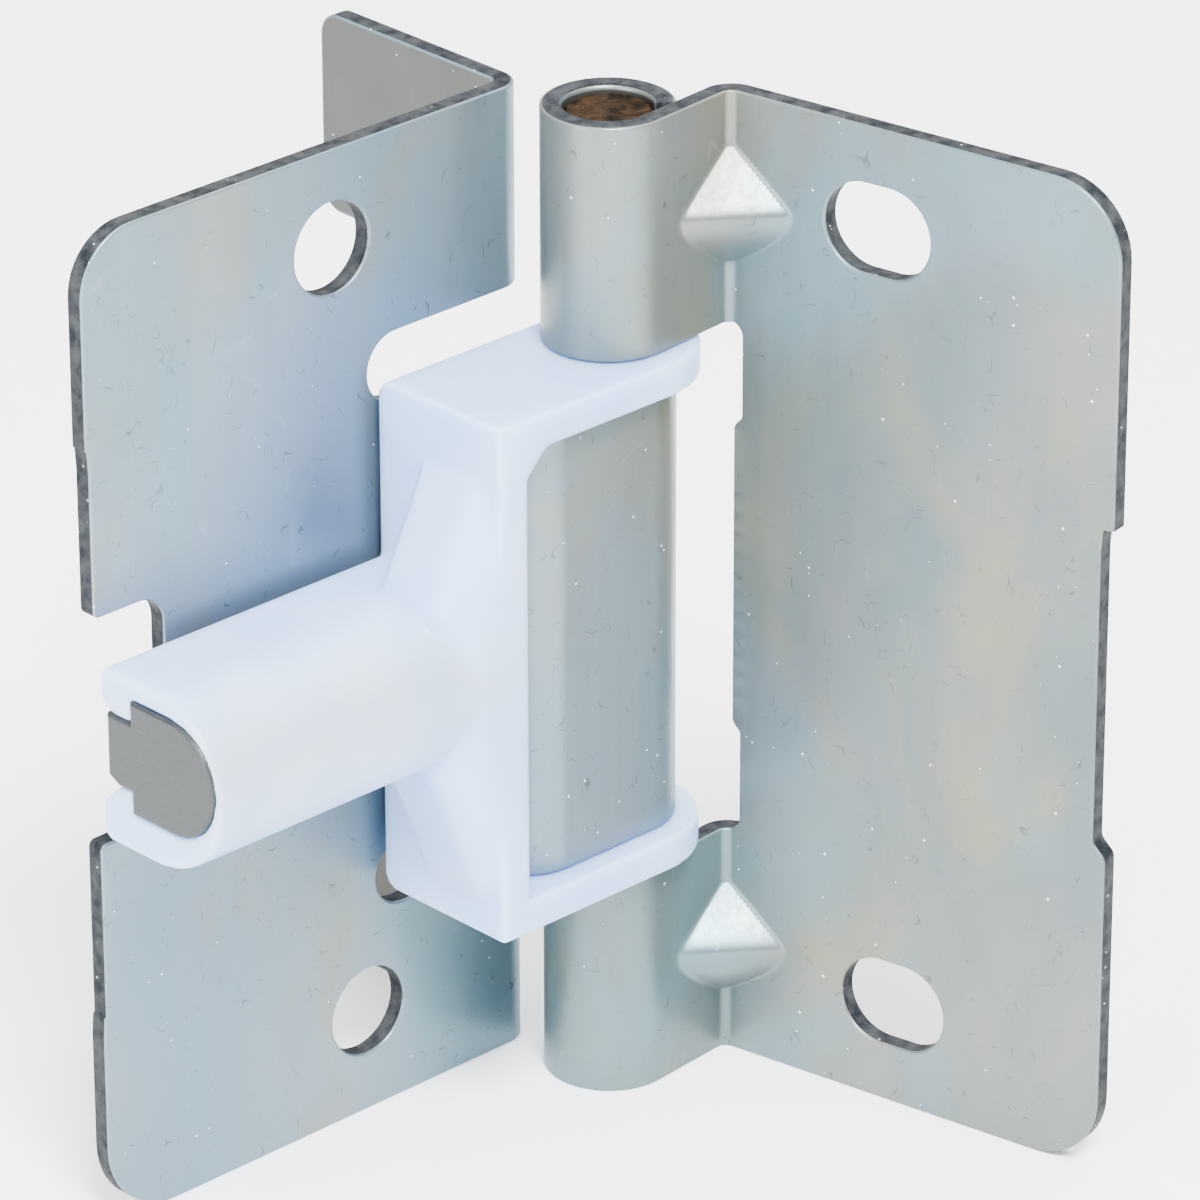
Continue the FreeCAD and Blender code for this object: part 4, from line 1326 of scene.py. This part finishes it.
class Materials:
    """All materials of the part."""

    def __init__(self, effects: Effects) -> None:
        """Make the materials.

        Args:
            effects: the shared groups.
        """
        self.effects = effects
        self.blue_plate = self.make_plated(BLUE_PLATE)
        self.grey_plate = self.make_plated(GREY_PLATE)
        self.plate_back_painted_shade = self.make_plated(PLATE_BACK_PAINTED_SHADE)
        self.sheared_painted_dark = self.make_sheared_painted_dark()
        self.pin = self.make_pin()
        self.plastic = self.make_plastic()
        self.core = self.make_core()
        self.speck = self.make_pale(PALE_SPECK, 900.0)
        self.floor = self.make_pale(PALE_FLOOR, 4.0)

    def make_plated(self, finish: PlatedFinish) -> bpy.types.Material:
        """Make zinc plating with clouds, hair scratches and specks.

        Args:
            finish: its tones and gloss.

        Returns:
            The material.
        """
        paint = Paint(finish)
        clouds = paint.group(self.effects.clouds, paint.vector)
        scratch = paint.group(self.effects.scratches, paint.vector, Amount=0.85)
        specks = paint.group(self.effects.specks, paint.vector, Scale=2500.0, Amount=0.01)
        grain = paint.group(self.effects.grain, paint.vector)[0]
        tone = finish.base
        for mask, share, over in (
            (clouds["Broad"], 0.85, finish.deep),
            (clouds["Patch"], 0.3, finish.deep),
            (clouds["Warm"], 0.75, finish.warm),
            (clouds["Cool"], 0.7, finish.cool),
            (clouds["Lilac"], 0.22, finish.lilac),
            (scratch["Lines"], 0.12, finish.line),
            (scratch["Hairs"], 0.8, finish.hair),
        ):
            tone = paint.tint(tone, mask, share, over)
        tone = paint.mix(specks["Mask"], tone, finish.speck)
        dull = paint.math("MULTIPLY", clouds["Patch"], finish.patch_rough)
        rough = paint.math("ADD", dull, paint.roughness(grain))
        uneven = paint.noise(paint.vector, finish.uneven, 2.0)
        height = paint.math("ADD", uneven, paint.math("MULTIPLY", grain, finish.grain_share))
        return paint.close(tone, rough, height)

    def make_sheared_painted_dark(self) -> bpy.types.Material:
        """Make the cut edge of the sheet: a near-black tone that paints the dark reflection of the cut,
        with a few bright grains.

        Returns:
            The material.
        """
        paint = Paint(SHEARED_EDGE_PAINTED_DARK)
        grain = paint.group(self.effects.grain, paint.vector, Scale=0.6)[0]
        specks = paint.group(self.effects.specks, paint.vector, Scale=2600.0, Amount=0.04)[0]
        tone = paint.between(paint.patches(900.0, 3.0, 0.6))
        tone = paint.tint(tone, specks, 0.5, colour(0.6, 0.64, 0.66))
        return paint.close(tone, paint.roughness(grain), grain)

    def make_pin(self) -> bpy.types.Material:
        """Make tarnished brown steel with brighter, smoother rubbed spots.

        Returns:
            The material.
        """
        paint = Paint(TARNISHED_PIN)
        grain = paint.group(self.effects.grain, paint.vector)[0]
        scratch = paint.group(self.effects.scratches, paint.vector, Amount=0.8)
        spots = paint.patches(620.0, 4.0, 0.65, 0.8, 0.38, 0.64)
        rust = paint.patches(1500.0, 2.0, low=0.56, high=0.66)
        tone = paint.tint(paint.between(spots), rust, 0.7, colour(0.008, 0.005, 0.003))
        tone = paint.tint(tone, scratch["Lines"], 0.5, colour(0.12, 0.075, 0.03))
        gloss = paint.finish.gloss
        rough = paint.span(spots, 0.0, 1.0, gloss.rough, gloss.smooth)
        return paint.close(tone, rough, paint.math("ADD", spots, grain))

    def make_plastic(self) -> bpy.types.Material:
        """Make the translucent bluish white moulding.

        Returns:
            The material.
        """
        paint = Paint(MILKY_PLASTIC)
        specks = paint.group(self.effects.specks, paint.vector, Scale=650.0, Amount=0.03)[0]
        tone = paint.between(paint.patches(90.0, 3.0, 0.5, 0.4))
        tone = paint.tint(tone, specks, 0.5, colour(0.42, 0.45, 0.52))
        rough = paint.roughness(paint.noise(paint.vector, 1900.0, 2.0))
        return paint.close(tone, rough, paint.noise(paint.vector, 520.0, 4.0, 0.55), {
            "Subsurface Weight": 0.85, "Subsurface Radius": (0.8, 1.0, 1.3),
            "Subsurface Scale": 0.003, "IOR": 1.5})

    def make_core(self) -> bpy.types.Material:
        """Make the grey steel bar, sawn across at its ends.

        Returns:
            The material.
        """
        paint = Paint(CUT_CORE)
        scratch = paint.group(self.effects.scratches, paint.vector, Amount=1.0)
        saw = paint.noise(paint.mapped(paint.vector, (300.0, 900.0, 5200.0), (12, 0, 0)), 1.0, 3.0)
        tone = paint.between(paint.span(saw, 0.35, 0.65))
        tone = paint.tint(tone, scratch["Lines"], 0.5, colour(0.2, 0.21, 0.21))
        return paint.close(tone, paint.roughness(saw), saw)

    @staticmethod
    def make_pale(finish: Finish, scale: float) -> bpy.types.Material:
        """Make a dull pale material whose tone varies a little.

        Args:
            finish: its tones and gloss.
            scale: how fine the variation is.

        Returns:
            The material.
        """
        paint = Paint(finish)
        tone = paint.between(paint.noise(paint.vector, scale, 2.0))
        return paint.close(tone, finish.gloss.rough)


class GeometryTree(Nodes):
    """Geometry node tree that is applied once to an object."""

    def __init__(self, name: str) -> None:
        """Start a tree with a geometry input and output.

        Args:
            name: its name.
        """
        super().__init__(bpy.data.node_groups.new(name, "GeometryNodeTree"))
        for way in ("INPUT", "OUTPUT"):
            self.tree.interface.new_socket("Geometry", in_out=way, socket_type="NodeSocketGeometry")
        self.start = self.add("NodeGroupInput")
        self.end = self.add("NodeGroupOutput")
        self.values: dict[str, float | int] = {}

    def size(self, label: str, kind: str, value: float | int) -> bpy.types.NodeSocket:
        """Add a named input.

        Args:
            label: its name.
            kind: its socket type.
            value: the value that the modifier gets.

        Returns:
            The input node's socket.
        """
        socket = self.tree.interface.new_socket(label, in_out="INPUT", socket_type=kind)
        self.values[socket.identifier] = value
        return self.start.outputs[label]

    def close(self, geometry: bpy.types.NodeSocket, material: bpy.types.Material) -> None:
        """End the tree with real geometry and its material.

        Args:
            geometry: what the tree has made.
            material: its material.
        """
        real = self.add("GeometryNodeRealizeInstances", {0: geometry})
        painted = self.add("GeometryNodeSetMaterial", {0: real.outputs[0], "Material": material})
        self.fill(self.end, {"Geometry": painted.outputs[0]})

    def result(self, name: str, mesh: bpy.types.Mesh) -> bpy.types.Object:
        """Run the tree on a mesh.

        Args:
            name: name of the new object.
            mesh: mesh that goes in.

        Returns:
            Object with the plain mesh that comes out.
        """
        carrier = add_object(name + "_carrier", mesh)
        modifier = carrier.modifiers.new("tree", "NODES")
        modifier.node_group = self.tree
        for identifier, value in self.values.items():
            modifier[identifier] = value
        return add_object(name, plain_mesh(carrier, name))


@dataclass(frozen=True)
class HingePin:
    """Round pin, turned from a line whose radius follows the distance from its ends."""

    radius: float = 3.2
    height: float = 76.2
    recess: float = 0.5
    chamfer: float = 0.28
    rings: int = 420
    sides: int = 72
    sharp_deg: float = 25.0

    def build(self, material: bpy.types.Material) -> bpy.types.Object:
        """Make the pin by a geometry tree.

        Args:
            material: its material.

        Returns:
            The pin.
        """
        tree = GeometryTree("turned_pin")
        radius = tree.size("Radius", "NodeSocketFloat", self.radius * MM)
        half = tree.size("Half Length", "NodeSocketFloat", (self.height / 2 - self.recess) * MM)
        chamfer = tree.size("Chamfer", "NodeSocketFloat", self.chamfer * MM)
        count = tree.size("Rings", "NodeSocketInt", self.rings)
        low = tree.add("ShaderNodeCombineXYZ", {2: tree.math("MULTIPLY", half, -1.0)})
        high = tree.add("ShaderNodeCombineXYZ", {2: half})
        line = tree.add("GeometryNodeCurvePrimitiveLine", {0: low.outputs[0], 1: high.outputs[0]})
        even = tree.add("GeometryNodeResampleCurve", {"Curve": line.outputs[0], "Count": count})
        here = tree.add("ShaderNodeSeparateXYZ", {0: tree.add("GeometryNodeInputPosition").outputs[0]})
        to_end = tree.math("SUBTRACT", half, tree.math("ABSOLUTE", here.outputs[2]))
        cut = tree.math("MAXIMUM", tree.math("SUBTRACT", chamfer, to_end), 0.0)
        ring = tree.add("GeometryNodeCurvePrimitiveCircle", {"Resolution": self.sides, "Radius": radius})
        body = tree.add("GeometryNodeCurveToMesh", {
            "Curve": even.outputs[0], "Profile Curve": ring.outputs[0], "Fill Caps": True,
            "Scale": tree.math("SUBTRACT", 1.0, tree.math("DIVIDE", cut, radius))})
        tree.close(body.outputs[0], material)
        made = tree.result("turned_hinge_pin", bpy.data.meshes.new("empty_mesh"))
        middle = Place().carry(np.array([[0.0, 0.0, self.height / 2]]))[0]
        made.data.transform(Matrix.Translation(Vector(middle)))
        self.sharpen(made.data)
        return made

    def sharpen(self, mesh: bpy.types.Mesh) -> None:
        """Shade the pin smooth, with sharp edges above an angle.

        Args:
            mesh: the pin's mesh.
        """
        mesh.shade_smooth()
        limit = math.radians(self.sharp_deg)
        work = bmesh.new()
        work.from_mesh(mesh)
        for edge in work.edges:
            edge.smooth = len(edge.link_faces) == 2 and edge.calc_face_angle() < limit
        work.to_mesh(mesh)
        work.free()


@dataclass(frozen=True)
class Specks:
    """Small pale grains that lie on the plated faces."""

    per_square_metre: float = 14000.0
    smallest: float = 0.02
    largest: float = 0.065
    flattened: Triple = (1.0, 1.25, 0.35)

    def build(self, name: str, host: bpy.types.Object, seed: int,
              material: bpy.types.Material) -> bpy.types.Object:
        """Scatter grains over a piece by a geometry tree.

        Args:
            name: name of the new piece.
            host: the piece that carries them.
            seed: start of the random numbers.
            material: their material.

        Returns:
            All grains as one piece.
        """
        tree = GeometryTree(name + "_tree")
        many = tree.size("Density", "NodeSocketFloat", self.per_square_metre)
        start = tree.size("Seed", "NodeSocketInt", seed)
        small = tree.size("Smallest", "NodeSocketFloat", self.smallest * MM)
        large = tree.size("Largest", "NodeSocketFloat", self.largest * MM)
        spread = tree.add("GeometryNodeDistributePointsOnFaces", {
            "Mesh": tree.start.outputs["Geometry"], "Density": many, "Seed": start})
        grain = tree.add("GeometryNodeMeshIcoSphere", {"Radius": 1.0, "Subdivisions": 1})
        flat = tree.add("GeometryNodeTransform", {
            "Geometry": grain.outputs[0], "Scale": self.flattened})
        size = tree.add("FunctionNodeRandomValue", {2: small, 3: large, "Seed": start},
                        data_type="FLOAT")
        place = tree.add("GeometryNodeInstanceOnPoints", {
            "Points": spread.outputs["Points"], "Instance": flat.outputs[0],
            "Rotation": spread.outputs["Rotation"], "Scale": size.outputs[1]})
        tree.close(place.outputs[0], material)
        return tree.result(name, host.data.copy())


@dataclass(frozen=True)
class Arm:
    """Moulded sleeve with soft edges and rounded lips, and its steel core."""

    voxel: float = 0.27
    soft_share: float = 0.5
    soft_times: int = 6
    tube_back: float = 5.9
    tube_start: float = -17.5
    tube_fade: float = 3.0
    neck_low: float = 36.4
    neck_high: float = 41.8
    upper_tip: float = 2.2
    lower_tip: float = 1.3
    least_share: float = 0.02
    least_tip: float = 0.1
    past_tip: float = 0.3

    def build_sleeve(self, material: bpy.types.Material) -> bpy.types.Object:
        """Make the sleeve from its solid, with soft moulded edges.

        Args:
            material: its material.

        Returns:
            The sleeve.
        """
        name = "moulded_arm_sleeve"
        work = bmesh.new()
        work.from_mesh(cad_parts["arm_sleeve"].data)
        bmesh.ops.remove_doubles(work, verts=work.verts, dist=TINY)
        mesh = bpy.data.meshes.new(name)
        work.to_mesh(mesh)
        work.free()
        carrier = add_object("sleeve_carrier", mesh)
        remesh = carrier.modifiers.new("remesh", "REMESH")
        remesh.mode = "VOXEL"
        remesh.voxel_size = self.voxel * MM
        soften = carrier.modifiers.new("soften", "SMOOTH")
        soften.factor = self.soft_share
        soften.iterations = self.soft_times
        made = plain_mesh(carrier, name)
        self.round_lip(made, self.neck_high, self.upper_tip, 1.0)
        self.round_lip(made, self.neck_low, self.lower_tip, -1.0)
        made.materials.clear()
        made.materials.append(material)
        made.shade_smooth()
        return add_object(name, made)

    def round_lip(self, mesh: bpy.types.Mesh, face: float, radius: float, upward: float) -> None:
        """Round the free edge of one lip of the tube.

        Args:
            mesh: the sleeve.
            face: height of the lip's face in the neck.
            radius: radius of the rounded edge, away from the block.
            upward: 1 where the lip lies above the neck, and -1 where it lies below.
        """
        origin = np.array(Place().origin)
        points = np.empty(len(mesh.vertices) * 3)
        mesh.vertices.foreach_get("co", points)
        points = points.reshape(-1, 3) / MM - origin
        from_block = (self.tube_start - points[:, 0]) / self.tube_fade
        reach = radius * np.clip(from_block, self.least_share, 1)
        across = points[:, 1] - (self.tube_back - reach)
        along = (face + upward * reach - points[:, 2]) * upward
        length = np.hypot(across, along)
        at_lip = (across > 0) & (along > 0) & (along < reach + self.past_tip)
        wide = at_lip & (length > reach) & (reach > self.least_tip)
        share = np.where(wide, reach / np.maximum(length, TINY), 1.0)
        points[:, 1] += across * (share - 1)
        points[:, 2] -= along * (share - 1) * upward
        mesh.vertices.foreach_set("co", ((points + origin) * MM).ravel())
        mesh.update()

    @staticmethod
    def dress_core(material: bpy.types.Material) -> None:
        """Give the core's solid its material.

        Args:
            material: the material.
        """
        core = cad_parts["arm_core"]
        core.data.materials.clear()
        core.data.materials.append(material)
        LOG.info("arm_core: solid dressed with %s", material.name)


@dataclass(frozen=True)
class Shot:
    """Camera at the photograph's viewing angle."""

    place: Triple = (-0.33510, -0.37777, 0.24814)
    target: Triple = (0.018142, -0.008033, -0.000394)
    field_deg: float = 8.655
    roll_deg: float = -0.111
    sensor_mm: float = 36.0
    nearest: float = 0.01


@dataclass(frozen=True)
class SoftBox:
    """Square or oblong lamp that points at the part."""

    name: str
    place: Triple
    size: Point
    watts: float
    tint: Triple


@dataclass(frozen=True)
class Room:
    """White surroundings that are brighter overhead, and the floor."""

    low_height: float = 0.25
    high_height: float = 0.85
    low_strength: float = 0.95
    high_strength: float = 3.6
    floor_level: float = -0.0381
    floor_reach: float = 2.0
    boxes: tuple[SoftBox, ...] = (
        SoftBox("key_box", (-0.24, -0.46, 0.68), (0.26, 0.26), 28.0, (1.0, 0.995, 0.98)),
        SoftBox("top_box", (0.3, 0.1, 0.9), (0.6, 0.6), 6.0, (1.0, 1.0, 1.0)),
        SoftBox("left_box", (-0.75, -0.06, 0.16), (0.4, 0.5), 10.0, (0.92, 0.97, 1.0)),
    )


class Stage:
    """Camera, lights and floor."""

    def __init__(self, shot: Shot, room: Room) -> None:
        """Keep the shot and the room."""
        self.shot = shot
        self.room = room

    def set_camera(self) -> None:
        """Make the camera."""
        shot = self.shot
        place = Vector(shot.place)
        ahead = (Vector(shot.target) - place).normalized()
        right = ahead.cross(Vector((0, 0, 1))).normalized()
        up = right.cross(ahead)
        roll = math.radians(shot.roll_deg)
        level = right * math.cos(roll) + up * math.sin(roll)
        upright = up * math.cos(roll) - right * math.sin(roll)
        data = bpy.data.cameras.new("camera")
        data.sensor_width = shot.sensor_mm
        data.lens = shot.sensor_mm / 2 / math.tan(math.radians(shot.field_deg) / 2)
        data.clip_start = shot.nearest
        camera = add_object("camera", data)
        turn = Matrix((level, upright, -ahead)).transposed().to_4x4()
        camera.matrix_world = Matrix.Translation(place) @ turn
        bpy.context.scene.camera = camera

    def set_world(self) -> None:
        """Make the plain white surroundings."""
        room = self.room
        world = bpy.data.worlds.new("studio")
        world.use_nodes = True
        kit = Nodes(world.node_tree)
        ray = kit.add("ShaderNodeSeparateXYZ", {0: kit.add("ShaderNodeTexCoord").outputs["Generated"]})
        strength = kit.span(
            ray.outputs[2], room.low_height, room.high_height, room.low_strength, room.high_strength)
        kit.fill(world.node_tree.nodes["Background"], {"Color": colour(1, 1, 1), "Strength": strength})
        bpy.context.scene.world = world

    def set_lights(self) -> None:
        """Hang the soft boxes."""
        for box in self.room.boxes:
            data = bpy.data.lights.new(box.name, "AREA")
            data.shape = "RECTANGLE"
            data.size, data.size_y = box.size
            data.energy = box.watts
            data.color = box.tint
            lamp = add_object(box.name, data)
            lamp.location = box.place
            lamp.rotation_euler = (-Vector(box.place)).to_track_quat("-Z", "Y").to_euler()

    def set_floor(self, material: bpy.types.Material) -> None:
        """Lay the floor under the part.

        Args:
            material: its material.
        """
        reach, level = self.room.floor_reach, self.room.floor_level
        signs = ((-1, -1), (1, -1), (1, 1), (-1, 1))
        mesh = bpy.data.meshes.new("floor")
        mesh.from_pydata([(x * reach, y * reach, level) for x, y in signs], [], [[0, 1, 2, 3]])
        mesh.shade_smooth()
        mesh.materials.append(material)
        floor = add_object("floor", mesh)
        floor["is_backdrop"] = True


def settle(piece: bpy.types.Object, body: str, node: str) -> None:
    """Tie a finished piece to its body and its node, and report it.

    Args:
        piece: the piece.
        body: the body that it moves with.
        node: the solid that it stands for, or empty text where it only lies on one.
    """
    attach(piece, body)
    if node:
        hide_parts(node)
    LOG.info("%s: %d faces on %s", piece.name, len(piece.data.polygons), body)


def main() -> None:
    """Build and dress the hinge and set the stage."""
    logging.basicConfig(level=logging.INFO)
    box_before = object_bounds()
    materials = Materials(Effects())
    finish = SheetFinish()

    leaves = (
        (CornerLeaf(CornerLeafSizes(), finish), "corner_leaf", materials.blue_plate, 11),
        (KnuckleLeaf(KnuckleLeafSizes(), finish), "knuckle_leaf", materials.grey_plate, 23),
    )
    for leaf, body, plate, seed in leaves:
        piece = leaf.build([plate, materials.sheared_painted_dark, materials.plate_back_painted_shade])
        grains = Specks().build(body + "_grains", piece, seed, materials.speck)
        settle(piece, body, body)
        settle(grains, body, "")

    settle(HingePin().build(materials.pin), "knuckle_leaf", "hinge_pin")
    arm = Arm()
    settle(arm.build_sleeve(materials.plastic), "arm", "arm_sleeve")
    arm.dress_core(materials.core)

    stage = Stage(Shot(), Room())
    stage.set_world()
    stage.set_lights()
    stage.set_floor(materials.floor)
    stage.set_camera()

    box_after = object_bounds()
    for name, (low, high) in (("cad", box_before), ("visual", box_after)):
        LOG.info("%s box %s %s", name, [round(c, 5) for c in low], [round(c, 5) for c in high])


if __name__ == "__main__":
    main()
